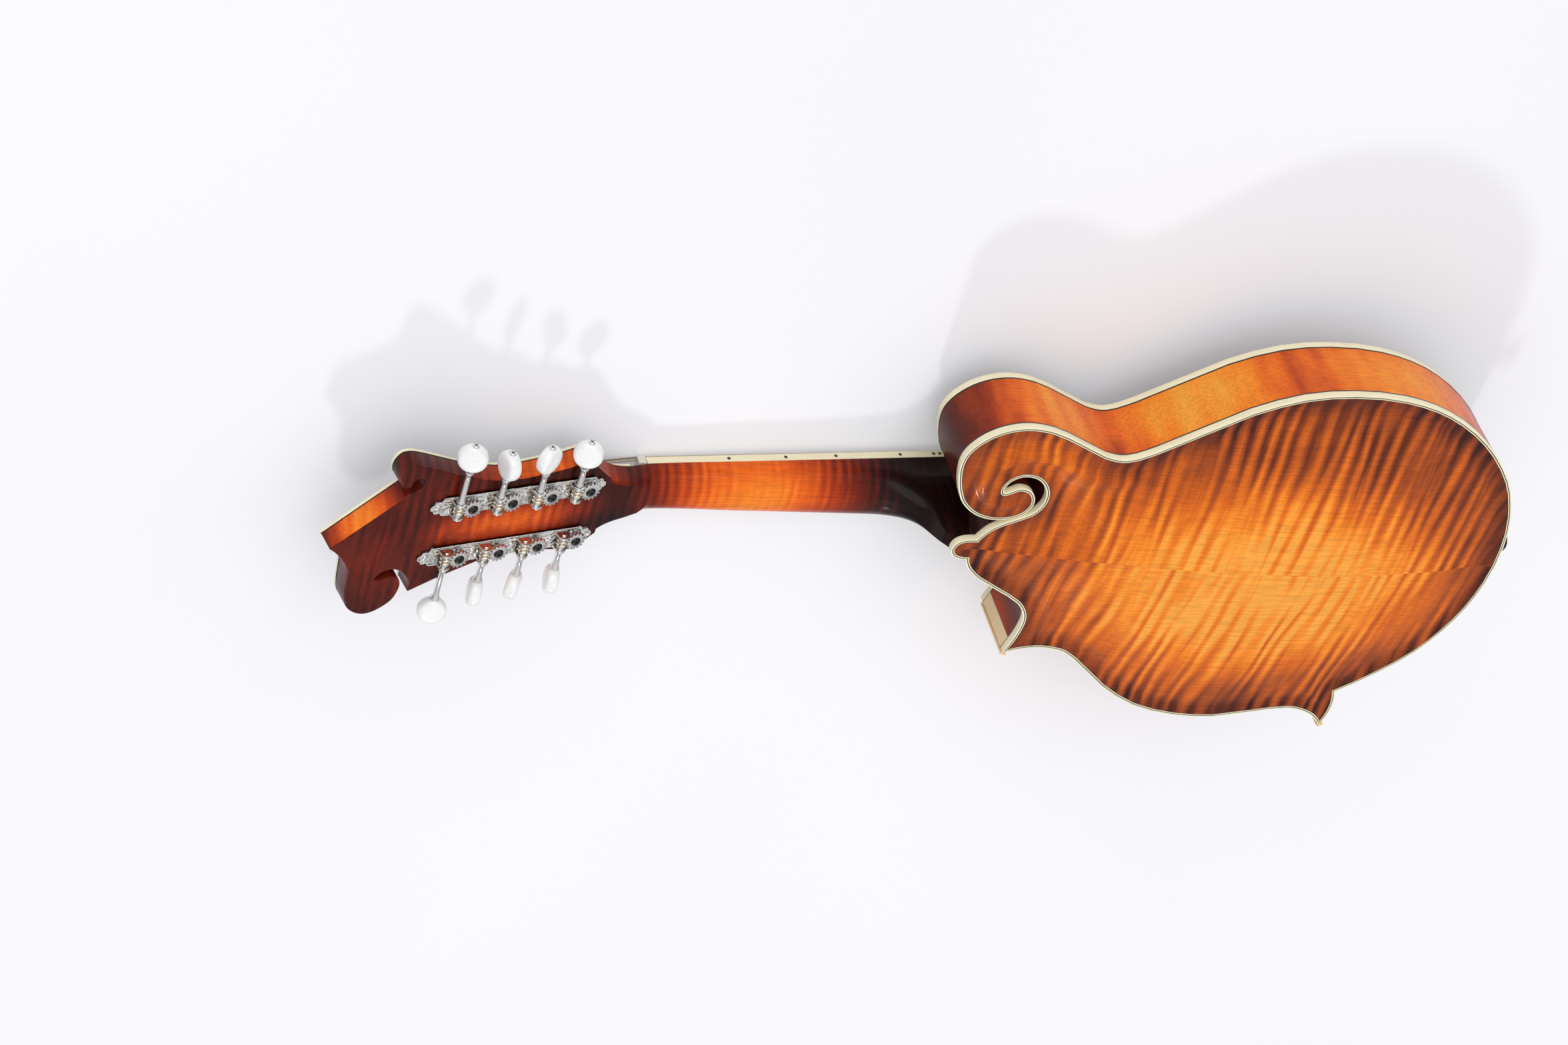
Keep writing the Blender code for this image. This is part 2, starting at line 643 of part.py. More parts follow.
def neck_sections():
    sections = []
    slope = math.tan(HEAD_ANGLE)
    base = board_z(NUT_X) + HEAD_BACK
    for far, half, square in ((34.0, 26.5, 0.95), (26.0, 19.8, 0.8), (18.0, 16.2, 0.76), (9.0, 14.4, 0.72),
                              (3.0, 14.2, 0.6)):
        x = NUT_X - far * math.cos(HEAD_ANGLE)
        back = base + slope * (NUT_X - x) - 0.05
        front = base + slope * (NUT_X - x) - HEAD_T / math.cos(HEAD_ANGLE) + 0.05
        sections.append(cut_across(x, front, back - front,
                                   lambda s: half * (square + (1 - square) * round_width(s))))
    for x, depth, heel in ((NUT_X + 3.0, NECK_T, 0.0), (NUT_X + 60.0, NECK_T + 1.0, 0.0), (-60.0, NECK_T + 2.2, 0.0),
                           (-34.0, 16.4, 0.1), (-22.0, 21.0, 0.35), (-13.0, 28.5, 0.7), (-6.5, 38.0, 0.95)):
        half = board_half(x)
        sections.append(cut_across(x, under_board(x), depth, lambda s: (1 - heel) * half * round_width(s)
                                   + heel * (half + (HEEL_HALF - half) * s ** 0.75)))
    heel_back = -PLATE_T - 2 * GAP
    for x, short in ((-1.5, 2.5), (3.0, 0.0), (27.0, 0.0)):
        half = board_half(x)
        tip = HEEL_HALF - short / 2
        sections.append(cut_across(x, under_board(x), heel_back - short - under_board(x),
                                   lambda s: half + (tip - half) * s ** 0.75))
    riser_end = NUT_X + BOARD_LEN - 3.0
    for share in (0.0, 0.25, 0.65, 1.0):
        x = RISER_X + (riser_end - RISER_X) * share
        rise = top_face(x, 0.0) - 2 * GAP - under_board(x)
        sections.append(cut_across(x, under_board(x), rise, lambda s: board_half(x)))
    return sections


def make_neck():
    neck = dress(loft("neck", neck_sections()), "maple_neck", 35)
    rod_end = -12.0 - NUT_X
    channel = [(3.0, -ROD_W / 2 - GAP), (rod_end, -ROD_W / 2 - GAP), (rod_end, ROD_W / 2 + GAP), (3.0, ROD_W / 2 + GAP)]
    boolean(neck, solid(flat("rod_channel", [channel], BOARD_T - 1.0, BOARD_T + 3 * GAP + ROD_H, BOARD, cutter=True)))
    rod = [(3.0 + GAP, -ROD_W / 2), (rod_end - GAP, -ROD_W / 2), (rod_end - GAP, ROD_W / 2), (3.0 + GAP, ROD_W / 2)]
    dress(flat("truss_rod", [rod], BOARD_T + 2 * GAP, BOARD_T + 2 * GAP + ROD_H, BOARD), "steel")
    slab = clip(HEAD_LINE, lambda p: -26.0 - p.x)
    boolean(neck, solid(flat("head_slab", [slab], -HEAD_T, 0.0, HEAD, cutter=True)), "UNION")
    bores = [circle(x, y, POST_R + 0.7, 8) for x, y in post_places()]
    boolean(neck, solid(flat("post_bores", bores, -HEAD_T - 4.0, 4.0, HEAD, cutter=True)))
    pocket = clip(offset(FRONT_LINE, BINDING_T + GAP), lambda p: 60.0 - p.x)
    boolean(neck, solid(flat("body_pocket", [pocket], top_face(RISER_X, 0.0) - 2 * GAP, 8.0, cutter=True)))


def make_headstock_trim():
    low = -HEAD_T - GAP - OVERLAY_T
    high = -HEAD_T - GAP
    start = -OVERLAY_START
    outline = clip(HEAD_LINE, lambda p: start - p.x)
    core = clip(offset(outline, -HEAD_BINDING - GAP), lambda p: start - p.x)
    bores = [circle(x, y, POST_R + 0.7, 8) for x, y in post_places()]
    overlay = dress(solid(flat("headstock_overlay", [core] + bores, low, high, HEAD)), "black_veneer")
    bushings = []
    for x, y in post_places():
        bushings += [circle(x, y, BUSH_R, 8), circle(x, y, around(POST_R + FIT, 8), 8)]
    boolean(overlay, solid(flat("bushings", bushings, low - BUSH_OUT, low + 0.5, HEAD, cutter=True)), "UNION")
    # The binding goes round from one side of the nut to the other.
    first = max(range(len(outline)), key=lambda i: (round(outline[i].x, 3), -outline[i].y))
    line = outline[first:] + outline[:first]
    if abs(line[1].x - line[0].x) < 0.001:
        line = line[1:] + line[:1]
    inner = offset(line, -HEAD_BINDING, False)
    inner[0].x = start
    inner[-1].x = start
    dress(flat("headstock_binding", [line + inner[::-1]], low, high, HEAD), "binding")
    cover = [(-p.x, p.y) for p in curve_through([(16.0, 7.0), (27.0, 4.6), (36.0, 0.0), (27.0, -4.6), (16.0, -7.0)],
                                                bend=30.0)]
    cover = [(-9.5, 7.0)] + cover + [(-9.5, -7.0)]
    dress(flat("truss_rod_cover", [cover], low - GAP - COVER_T, low - GAP, HEAD), "black_plastic")


def make_board():
    def edge(inset, start):
        end = BOARD_LEN - inset
        near = board_half(NUT_X) - inset
        far = board_half(NUT_X + BOARD_LEN) - inset
        return [(start, -near), (end, -far), (end, far), (start, near)]
    board = dress(solid(flat("fingerboard", [edge(BOARD_BINDING + GAP, 0.0)], 0.0, BOARD_T, BOARD)), "ebony")
    strip = edge(0.0, 0.0) + edge(BOARD_BINDING, 0.0)[::-1]
    dress(flat("fingerboard_binding", [strip], 0.0, BOARD_T, BOARD), "binding")
    verts = []
    faces = []
    for n in range(1, FRETS + 1):
        x = SCALE * (1 - 2 ** (-n / 12))
        half = board_half(NUT_X + x) - BOARD_BINDING - GAP - 0.2
        base = len(verts)
        for y in (-half, half):
            verts += [(x - FRET_W / 2, y, 0.4), (x - FRET_W / 2, y, -0.2), (x - FRET_W / 5, y, -FRET_H),
                      (x + FRET_W / 5, y, -FRET_H), (x + FRET_W / 2, y, -0.2), (x + FRET_W / 2, y, 0.4)]
        faces += [tuple(range(base, base + 6)), tuple(range(base + 6, base + 12))]
        faces += [(base + k, base + (k + 1) % 6, base + 6 + (k + 1) % 6, base + 6 + k) for k in range(6)]
    boolean(board, built("frets", verts, faces, BOARD, cutter=True), "UNION")
    seat = string_line(NUT_X) + 2 * max(STRING_R.values()) + GAP
    foot = under_board(NUT_X) - 2 * GAP
    nut = [(NUT_X - GAP, foot), (NUT_X - GAP, seat), (NUT_X - NUT_LEN + 1.0, seat), (NUT_X - NUT_LEN, seat + 1.0),
           (NUT_X - NUT_LEN, foot)]
    dress(flat("nut", [nut], -NUT_W / 2, NUT_W / 2, SIDE_ON), "bone")


# Tuners

def shaft_place(index):
    """From a worm's own frame, z along the shaft to its button, to the body frame."""
    side = 1 if index < TUNERS else -1
    along = -FIRST_SHAFT - SHAFT_STEP * (index % TUNERS)
    return HEAD @ Matrix.Translation((along, side * POST_Y, WORM_H)) @ Matrix.Rotation(-side * math.pi / 2, 4, "X")


def seat_of(index):
    return TIP_SEAT_Y if index % TUNERS == TUNERS - 1 else SEAT_Y


def band(a, b):
    return [(a[k], a[(k + 1) % len(a)], b[(k + 1) % len(a)], b[k]) for k in range(len(a))]


def make_worm_shaft(name, seat, place):
    """A one-start thread on a turned shaft, with the tang and screw head that hold its button."""
    verts = []
    faces = []

    def corner(r, turn, z):
        angle = math.tau * turn / WORM_SIDES
        verts.append((r * math.cos(angle), r * math.sin(angle), z))
        return len(verts) - 1

    def ring(r, z):
        return [corner(r, k, z) for k in range(WORM_SIDES)]

    count = int(WORM_TURNS * WORM_SIDES) + 1
    start = -PITCH * WORM_TURNS / 2
    low, crest, high = [[corner(r, k, start + shift + PITCH * k / WORM_SIDES) for k in range(count)]
                        for r, shift in ((WORM_ROOT, -THREAD_BASE / 2), (WORM_R, 0.0), (WORM_ROOT, THREAD_BASE / 2))]
    for k in range(count - 1):
        faces += [(low[k], low[k + 1], crest[k + 1], crest[k]), (crest[k], crest[k + 1], high[k + 1], high[k])]
        if k + 1 + WORM_SIDES < count:
            faces.append((high[k], high[k + 1], low[k + 1 + WORM_SIDES], low[k + WORM_SIDES]))
    shoulder = LUG_IN - 0.15
    under = ring(WORM_ROOT, -shoulder)
    over = ring(WORM_ROOT, shoulder)
    for k in range(WORM_SIDES):
        faces.append((under[k], under[(k + 1) % WORM_SIDES], low[k + 1], low[k]))
        last = count - 1 - WORM_SIDES + k
        faces.append((high[last], high[last + 1], over[(last + 1) % WORM_SIDES], over[last % WORM_SIDES]))
    faces.append((under[0], low[0], crest[0], high[0], low[WORM_SIDES]))
    last = count - 1
    faces.append((over[last % WORM_SIDES], high[last], crest[last], low[last], high[last - WORM_SIDES]))
    lug_out = LUG_IN + LUG_T
    foot = [ring(SHAFT_R, -shoulder), ring(SHAFT_R, -lug_out - 0.8)]
    shaft = [ring(r, z) for r, z in (
        (SHAFT_R, shoulder), (SHAFT_R, lug_out + 0.3), (2.3, lug_out + 0.3), (1.8, lug_out + 1.9),
        (1.8, seat - 3.0), (2.7, seat - 1.5), (2.7, seat - GAP), (TANG_R, seat - GAP),
        (TANG_R, seat + BUTTON_L + GAP), (2.1, seat + BUTTON_L + GAP), (1.4, seat + BUTTON_L + 1.5))]
    for a, b in zip([under] + foot, foot):
        faces += band(a, b)
    for a, b in zip([over] + shaft, shaft):
        faces += band(a, b)
    faces += [tuple(foot[-1]), tuple(shaft[-1])]
    # Turned so that a crest faces the post at the middle of the worm.
    turn = Matrix.Rotation(math.tau * start / PITCH, 4, "Z")
    return built(name, verts, faces, place @ turn)


def make_post(name, place):
    gear_top = WORM_H + GEAR_T / 2
    gear_low = WORM_H - GEAR_T / 2
    front = -HEAD_T - GAP - OVERLAY_T
    tip = front - POST_OUT
    post = turned(name, [
        (0.0, gear_top + 1.4), (2.1, gear_top + 0.9), (2.1, gear_top - 0.5),
        (POST_R, gear_top - 0.5), (POST_R, front - BUSH_OUT - 0.2), (POST_SLIM, front - BUSH_OUT - 0.4),
        (POST_SLIM, tip + 1.9), (POST_R, tip + 1.4), (1.9, tip), (0.0, tip)], 8, place)
    teeth = []
    for k in range(TEETH):
        for share, r in ((0.0, GEAR_ROOT), (0.335, GEAR_TIP), (0.665, GEAR_TIP)):
            angle = math.pi + (k + share) * math.tau / TEETH
            teeth.append((r * math.cos(angle), r * math.sin(angle)))
    boolean(post, solid(flat(f"gear_{name}", [teeth], gear_low, gear_top, place, cutter=True)), "UNION")
    return post


# How far each button stands turned about its shaft, in degrees.
BUTTON_TURNS = (-30.0, 26.0, 94.0, -28.0, 112.0, -50.0, 114.0, 20.0)


def make_tuners():
    oval = []
    for k in range(14):
        a = math.tau * (k + 0.5) / 14
        oval.append((BUTTON_L / 2 * (1 - math.cos(a) / math.cos(math.pi / 14)), BUTTON_W / 2 * math.sin(a)))
    for index, (x, y) in enumerate(post_places()):
        number = index + 1
        place = shaft_place(index)
        seat = seat_of(index)
        dress(make_worm_shaft(f"worm_shaft_{number}", seat, place), "nickel", 40)
        turn = Matrix.Rotation(math.radians(BUTTON_TURNS[index]), 4, "Z")
        # The oval's long side lies across the shaft, in the headstock's plane when not turned.
        upright = Matrix(((0, 1, 0, 0), (0, 0, 1, 0), (1, 0, 0, seat), (0, 0, 0, 1)))
        button = solid(flat(f"button_{number}", [oval], -BUTTON_T / 2, BUTTON_T / 2, place @ turn @ upright))
        edge = button.modifiers.new("edge", "BEVEL")
        edge.width = BUTTON_EDGE * MM
        edge.segments = 1
        edge.limit_method = "ANGLE"
        edge.angle_limit = math.radians(60)
        tang = flat(f"tang_{number}", [circle(0.0, 0.0, around(TANG_R + GAP, 6), 6)], seat - 2.0, seat + BUTTON_L + 2.0,
                    place, cutter=True)
        boolean(button, solid(tang))
        dress(button, "pearloid", 40)
        dress(make_post(f"string_post_{number}", HEAD @ Matrix.Translation((x, y, 0))), "nickel", 40)


def make_tuner_plates():
    for name, side in (("tuner_plate_bass", 1), ("tuner_plate_treble", -1)):
        posts = [p for p in post_places() if p[1] * side > 0]
        shafts = [p[0] - CENTRES for p in posts]
        right = posts[0][0] + PLATE_NUT_END
        left = shafts[-1] - PLATE_TIP_END
        half = PLATE_W / 2
        end = [(0.0, 1.6), (1.4, 3.2), (4.6, 4.4), (8.2, half)]
        top = [(right - a, b) for a, b in end] + [(left + a, b) for a, b in reversed(end)]
        outline = [(x, side * POST_Y + y) for x, y in top + [(x, -y) for x, y in reversed(top)]]
        holes = [circle(x, y, POST_R + 0.35, 8) for x, y in posts]
        plate = dress(solid(flat(name, [outline] + holes, GAP, GAP + TUNER_PLATE_T, HEAD)), "nickel")
        foot = GAP + TUNER_PLATE_T / 2
        for number, inner in enumerate((LUG_IN, -LUG_IN - LUG_T)):
            rings = []
            for x in shafts:
                bow = [(x + LUG_HALF * math.cos(math.pi * k / 3), WORM_H + LUG_HALF * math.sin(math.pi * k / 3))
                       for k in range(4)]
                rings += [[(x + LUG_HALF, foot)] + bow + [(x - LUG_HALF, foot)],
                          circle(x, WORM_H, around(SHAFT_R + FIT, 6), 6)]
            near = -side * POST_Y - inner - LUG_T
            lugs = flat(f"lugs_{name}_{number}", rings, near, near + LUG_T, HEAD @ SIDE_ON, cutter=True)
            boolean(plate, solid(lugs), "UNION")


# Bridge, tailpiece and strings

def make_bridge():
    feet = []
    half = BRIDGE_W / 2
    for i in range(9):
        y = -BRIDGE_HALF + 2 * BRIDGE_HALF * i / 8
        low = min(top_face(BRIDGE_X + x, y) for x in (-half, 0.0, half)) - GAP
        thick = 3.2 + 2.2 * (1 - abs(y) / BRIDGE_HALF)
        feet.append([(BRIDGE_X - half, y, low), (BRIDGE_X + half, y, low),
                     (BRIDGE_X + half - 1.5, y, low - thick), (BRIDGE_X - half + 1.5, y, low - thick)])
    base = dress(loft("bridge_base", feet), "ebony")
    floor = string_line(BRIDGE_X)
    seat = floor + 2 * max(STRING_R.values()) + GAP
    crown = seat + SADDLE_H
    spots = [(BRIDGE_X, side * POST_SPREAD) for side in (1, -1)]
    foot = top_face(BRIDGE_X, POST_SPREAD) - 3.0
    boolean(base, solid(flat("bridge_posts", [circle(x, y, BRIDGE_POST_R, 8) for x, y in spots], seat + 2.6, foot,
                             cutter=True)), "UNION")
    for name, (x, y) in zip(("thumbwheel_bass", "thumbwheel_treble"), spots):
        rim = [(x + (WHEEL_R - 0.5 * (k % 2)) * math.cos(math.pi * k / WHEEL_TEETH),
                y + (WHEEL_R - 0.5 * (k % 2)) * math.sin(math.pi * k / WHEEL_TEETH)) for k in range(2 * WHEEL_TEETH)]
        bore = circle(x, y, around(BRIDGE_POST_R + FIT, 8), 8)
        dress(flat(name, [rim, bore], crown + GAP, crown + GAP + WHEEL_T), "nickel")
    ends = SADDLE_HALF
    side = [(ends, crown), (ends, seat + 2.6), (ends - 4.0, seat + 1.0), (ends - 8.0, seat)]
    outline = side + [(-y, z) for y, z in reversed(side)]
    saddle = flat("bridge_saddle", [outline], BRIDGE_X - SADDLE_W / 2, BRIDGE_X + SADDLE_W / 2, END_ON)
    saddle = dress(solid(saddle), "ebony")
    bores = [circle(x, y, around(BRIDGE_POST_R + FIT, 8), 8) for x, y in spots]
    boolean(saddle, solid(flat("saddle_bores", bores, seat + 1.0, crown + 2.0, cutter=True)))


def hook_height():
    """Lowest side of the tailpiece's hooks."""
    return top_face(TAIL_X - HOOK_BACK, 0.0) - 1.5 - TAIL_T


def make_tailpiece(bore):
    edge = TAIL_X + GAP
    over = -DEPTH - 1.2
    hook = hook_height()
    profile = [(edge, -8.0), (edge, over), (TAIL_X - HOOK_BACK, hook + TAIL_T), (TAIL_X - HOOK_BACK, hook),
               (edge + TAIL_T, over - TAIL_T), (edge + TAIL_T, -8.0)]
    base = dress(solid(flat("tailpiece_base", [profile], -TAIL_W / 2, TAIL_W / 2, SIDE_ON)), "nickel")
    boolean(base, bore)
    wide = TAIL_W / 2 + COVER_WALL + 1.0
    top = hook - COVER_H + 3.4
    foot = hook + 1.5
    outer = [(-wide, foot), (-wide, top + 3.0), (-wide + 4.0, top), (wide - 4.0, top), (wide, top + 3.0), (wide, foot)]
    thin = COVER_WALL
    inner = [(wide - thin, foot), (wide - thin, top + 3.4), (wide - 4.3, top + thin), (4.3 - wide, top + thin),
             (thin - wide, top + 3.4), (thin - wide, foot)]
    dress(flat("tailpiece_cover", [outer + inner], TAIL_X - HOOK_BACK - 12.0, TAIL_X - 2.0, END_ON), "nickel")
    start = edge + TAIL_T + GAP
    place = Matrix.Translation((start, 0.0, -DEPTH / 2)) @ Matrix.Rotation(math.pi / 2, 4, "Y")
    pin = turned("end_pin", [(0.0, PIN_OUT), (6.0, PIN_OUT), (7.0, PIN_OUT - 2.5), (4.2, 8.0), (4.2, 4.0), (6.5, 1.8),
                             (6.5, 0.0), (PIN_R, 0.0), (PIN_R, -PIN_IN), (0.0, -PIN_IN)], 12, place)
    dress(pin, "ebony", 40)


def post_of(order, member):
    """Outer courses go to the posts nearest the nut, and the outer string of a pair to the nearer one."""
    step = (0 if order in (0, 3) else 2) + (member if order < 2 else 1 - member)
    return (0 if order < 2 else TUNERS) + step


def string_points(order, member):
    """One string's middle line, from its hook to the last turn on its post."""
    r = STRING_R[COURSES[order]]
    side = 1 if order < 2 else -1
    y_nut = (1.5 - order) * NUT_SPREAD + (0.5 - member) * PAIR_NUT
    y_saddle = (1.5 - order) * SADDLE_SPREAD + (0.5 - member) * PAIR_SADDLE
    behind = BRIDGE_X + SADDLE_W / 2 + GAP
    past_nut = NUT_X - NUT_LEN - GAP
    points = [Vector((TAIL_X - HOOK_BACK + 3.0, y_saddle * 0.9, hook_height() - 1.0 - r)),
              Vector((behind, y_saddle, string_line(behind) + r)),
              Vector((past_nut, y_nut, string_line(past_nut) + r))]
    x, y = post_places()[post_of(order, member)]
    reach = POST_SLIM + r + 0.35
    climb = 2 * r + 0.45
    first = -HEAD_T - GAP - OVERLAY_T - BUSH_OUT - 0.8 - r - climb * TURNS
    for k in range(int(TURNS * TURN_POINTS) + 1):
        a = math.tau * k / TURN_POINTS
        coil = (x - reach * math.sin(a), y - side * reach * math.cos(a), first + climb * k / TURN_POINTS)
        points.append(HEAD @ Vector(coil))
    return points, climb - 2 * r


def make_strings():
    least = 99.0
    for order, course in enumerate(COURSES):
        data = bpy.data.curves.new(f"strings_{course}", "CURVE")
        data.dimensions = "3D"
        data.bevel_depth = STRING_R[course] * MM
        data.bevel_resolution = 1
        data.use_fill_caps = True
        one, gap = string_points(order, 0)
        two, _ = string_points(order, 1)
        least = min(least, gap)
        loop = (one[0] + two[0]) / 2 + Vector((1.4, 0.0, 0.0))
        path = one[::-1] + [loop] + two
        spline = data.splines.new("POLY")
        spline.points.add(len(path) - 1)
        for point, p in zip(spline.points, path):
            point.co = (*(p * MM), 1.0)
        obj = new_object(f"strings_{course}", data)
        data.materials.append(MATERIALS["wound_string" if order < 2 else "plain_string"])
    print("least gap between turns of a string, mm:", round(least, 3))


PIN_BORE = make_body()
make_neck()
make_headstock_trim()
make_board()
make_tuner_plates()
make_tuners()
make_bridge()
make_tailpiece(PIN_BORE)
make_strings()


def settle():
    """Level the strings on the ground and centre the whole on the origin."""
    turn = Matrix.Rotation(math.atan2(string_line(BRIDGE_X) - string_line(NUT_X), SCALE), 4, "Y")
    bpy.context.view_layer.update()
    graph = bpy.context.evaluated_depsgraph_get()
    corners = []
    for obj in NODES.objects:
        if obj.type != "EMPTY":
            shown = obj.evaluated_get(graph)
            corners += [turn @ shown.matrix_world @ v.co for v in shown.to_mesh().vertices]
    low = [min(p[k] for p in corners) for k in range(3)]
    high = [max(p[k] for p in corners) for k in range(3)]
    CARRIER.matrix_basis = Matrix.Translation((-(low[0] + high[0]) / 2, -(low[1] + high[1]) / 2, -low[2])) @ turn
    return CARRIER.matrix_basis.copy()


ROW = settle()


def say(label, place, way):
    p = ROW @ (Vector(place) * MM)
    d = (ROW.to_3x3() @ Vector(way)).normalized()
    print(label, [round(v, 6) for v in p], [round(v, 6) for v in d])


HEAD_OUT = HEAD.to_3x3() @ Vector((0, 0, 1))
for index, (post_x, post_y) in enumerate(post_places()):
    shaft = shaft_place(index)
    say(f"worm {index + 1}", shaft.translation, shaft.to_3x3() @ Vector((0, 0, 1)))
    say(f"post {index + 1}", HEAD @ Vector((post_x, post_y, 0.0)), HEAD_OUT)
say("head back face", HEAD @ Vector((-75.0, 0.0, 0.0)), HEAD_OUT)
say("pin end", (TAIL_X + 2 * GAP + TAIL_T + PIN_OUT, 0.0, -DEPTH / 2), (1, 0, 0))
say("saddle", (BRIDGE_X, 0.0, string_line(BRIDGE_X)), (0, 0, 1))
say("wheel bass", (BRIDGE_X, POST_SPREAD, string_line(BRIDGE_X) + 8.0), (0, 0, 1))
say("wheel treble", (BRIDGE_X, -POST_SPREAD, string_line(BRIDGE_X) + 8.0), (0, 0, 1))
say("slot middle", (38.5, 41.0, -DEPTH / 2), (0, 0, 1))
say("origin", (0.0, 0.0, 0.0), (1, 0, 0))
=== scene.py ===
# Looks of the F-style mandolin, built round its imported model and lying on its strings.
# Sizes are in millimetres in the body frame: x from the back button to the tail, y to the bass side,
# z out of the back. TO_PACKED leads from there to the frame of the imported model.
from math import atan2, ceil, copysign, cos, degrees, exp, pi, radians, sin, sqrt, tan, tau

import bmesh
import bpy
import numpy as np
from mathutils import Matrix, Vector
from mathutils.geometry import delaunay_2d_cdt


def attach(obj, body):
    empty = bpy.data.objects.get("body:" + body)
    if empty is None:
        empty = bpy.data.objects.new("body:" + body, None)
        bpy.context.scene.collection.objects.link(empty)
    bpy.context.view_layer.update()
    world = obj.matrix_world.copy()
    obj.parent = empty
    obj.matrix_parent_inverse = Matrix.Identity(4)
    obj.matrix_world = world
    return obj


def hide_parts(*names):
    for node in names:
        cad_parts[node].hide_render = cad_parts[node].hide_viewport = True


# Main sizes
SCALE = 352.4            # nut to bridge saddle, along the fingerboard
JOIN_X = 33.0            # fret 15 stands here, over the body's edge
DEPTH = 45.5             # outside depth of the body at its rim
PLATE_T = 4.2            # back and top at their edge
BACK_ARCH = 13.0
TOP_ARCH = 13.0
GAP = 0.3                # clearance between glued or seated pieces
FIT = 0.06               # radial clearance of a running fit
HAIR = 0.05              # keeps the smooth pieces inside the part's own facets
MM = 0.001
BEND = 7.0               # most degrees between neighbouring points of an outline
BLUNT = 0.6              # a sharp point's offset stops at 1/0.6 of the distance

# Rim, bindings and the fine lines beside them, which are given by their two offsets from the outline
BINDING_T = 1.9
RIB_OUT = 1.7            # the rim's faces, outside and inside the outline
RIB_IN = 0.7
RIB_LOW = -DEPTH + PLATE_T + GAP
RIB_HIGH = -PLATE_T - GAP
PIN_R = 3.2
TAIL_X = 342.0 + BINDING_T
EDGE_ROUND = 0.45        # rounding of the bindings' edges
LINE_DEEP = 0.5
LINE_OVER = 0.05         # how far a line stands out of its plate
BACK_BLACK = ((1.0, 0.45), (-0.10, -0.36))
BACK_CREAM = (0.45, -0.10)
TOP_BLACK = (-0.02, -0.62)
TOP_CREAM = (-0.62, -1.12)

# Body points: the strip down each one, and the pale wood behind it
UPPER_TIP = (57.0, -77.1)
LOWER_TIP = (282.2, -132.8)
STRIP_FOOT = 2.1         # half its width at the wood
STRIP_END = 1.5
STRIP_T = 1.4
TIP_CAP = 5.6            # how far the pale wood reaches back from a point
TIP_SPAN = 12.0          # and how far to each side at most

# Carved plates
BACK_STEP = 2.6          # between the inner points of the back
TOP_STEP = 5.0
GRID_X = (-16.0, 345.0)
GRID_Y = (-132.0, 128.0)
F_LENGTH = 66.0
F_AWAY = 57.0            # middle of an f-hole from the middle line
F_PAST = 2.0             # and past the bridge
F_LEAN = radians(10.0)
BRIGHT_AT = (188.0, -16.0)
BRIGHT_REACH = (172.0, 108.0)
SCROLL_AT = (30.0, 64.0)

# Neck and fingerboard
NECK_ANGLE = radians(3.2)
BOARD_RISE = 4.5         # fingerboard face over the rim's front plane, at the nut
BOARD_T = 5.0
NUT_W = 28.6
JOIN_W = 41.0
BOARD_PAST = 4.5         # fingerboard past its last fret
BOARD_BINDING = 1.6
FRETS = 22
FRET_H = 1.0
FRET_W = 2.0
DOT_FRETS = (3, 5, 7, 10, 12, 15)
DOUBLE_DOT = 12
DOT_PAIR = 1.9           # the double dot's two from their middle
DOT_R = 1.05
DOT_OUT = 0.29
NUT_STEP = 2.4           # outer side of the strings over the fingerboard, at the nut
SADDLE_STEP = 5.0        # the same at the saddle, over the fingerboard's plane
NECK_T = 12.4
HEEL_HALF = 5.2
RISER_X = 33.0           # from here on the neck only lies over the top plate
ROD_W = 5.0
ROD_H = 7.0
ROD_END = -12.0          # x where the truss rod's channel ends
POCKET_END = 60.0        # x up to which the body is cut out of the neck
SECTION_STEP = 2.5       # most between two sections of the neck

# Headstock, in its own frame: distance from the nut, y, and height out of the back face
HEAD_ANGLE = radians(14.0)
HEAD_BACK = 18.0         # back face over the fingerboard's face, at the nut
HEAD_T = 12.2
SLAB_START = 26.0        # the headstock's own slab joins the neck from here on
OVERLAY_T = 1.8
OVERLAY_START = 7.2
OVERLAY_HIGH = -HEAD_T - GAP
OVERLAY_LOW = OVERLAY_HIGH - OVERLAY_T
HEAD_BINDING = 1.5

# Tuners
TUNERS = 4               # on each side
SHAFT_STEP = 23.0
FIRST_SHAFT = 49.0       # from the nut
POST_Y = 18.0
TEETH = 14
PITCH = 2.4
WORM_TURNS = 2.5
WORM_R = 2.9
WORM_ROOT = 2.0
WORM_FOOT = WORM_ROOT - 0.15
SHAFT_R = 1.5
ROUND_SIDES = 24         # of the shown worms, shafts and posts
GEAR_TIP = 5.6
GEAR_ROOT = 4.35
GEAR_T = 2.4
WORM_H = 5.0             # worm axis over the headstock's back
CENTRES = 7.8            # worm axis to post axis
PLATE_W = 12.6
PLATE_NUT_END = 11.2     # from the first post
PLATE_TIP_END = 14.5     # from the last shaft
TUNER_PLATE_T = 1.2
SHEET_SUNK = 0.25        # the plate's face under its rim
BEAD_STEP = 0.95
LUG_T = 1.2
LUG_HALF = 3.2
LUG_IN = 4.1             # from the post line to a lug's inner face
POST_R = 2.4
POST_SLIM = 1.9
POST_OUT = 8.9           # post over the headstock's front
BUSH_R = 3.9
BUSH_OUT = 2.0
SEAT_Y = 19.0            # from the post line to the button's inner end
TIP_SEAT_Y = 28.0        # the same on the pair nearest the tip
BUTTON_L = 17.0
BUTTON_W = 16.2
BUTTON_T = 7.6
BUTTON_TURNS = (-30.0, 26.0, 94.0, -28.0, 112.0, -50.0, 114.0, 20.0)
TANG_R = 1.1
PLATE_SCREW_R = 1.6

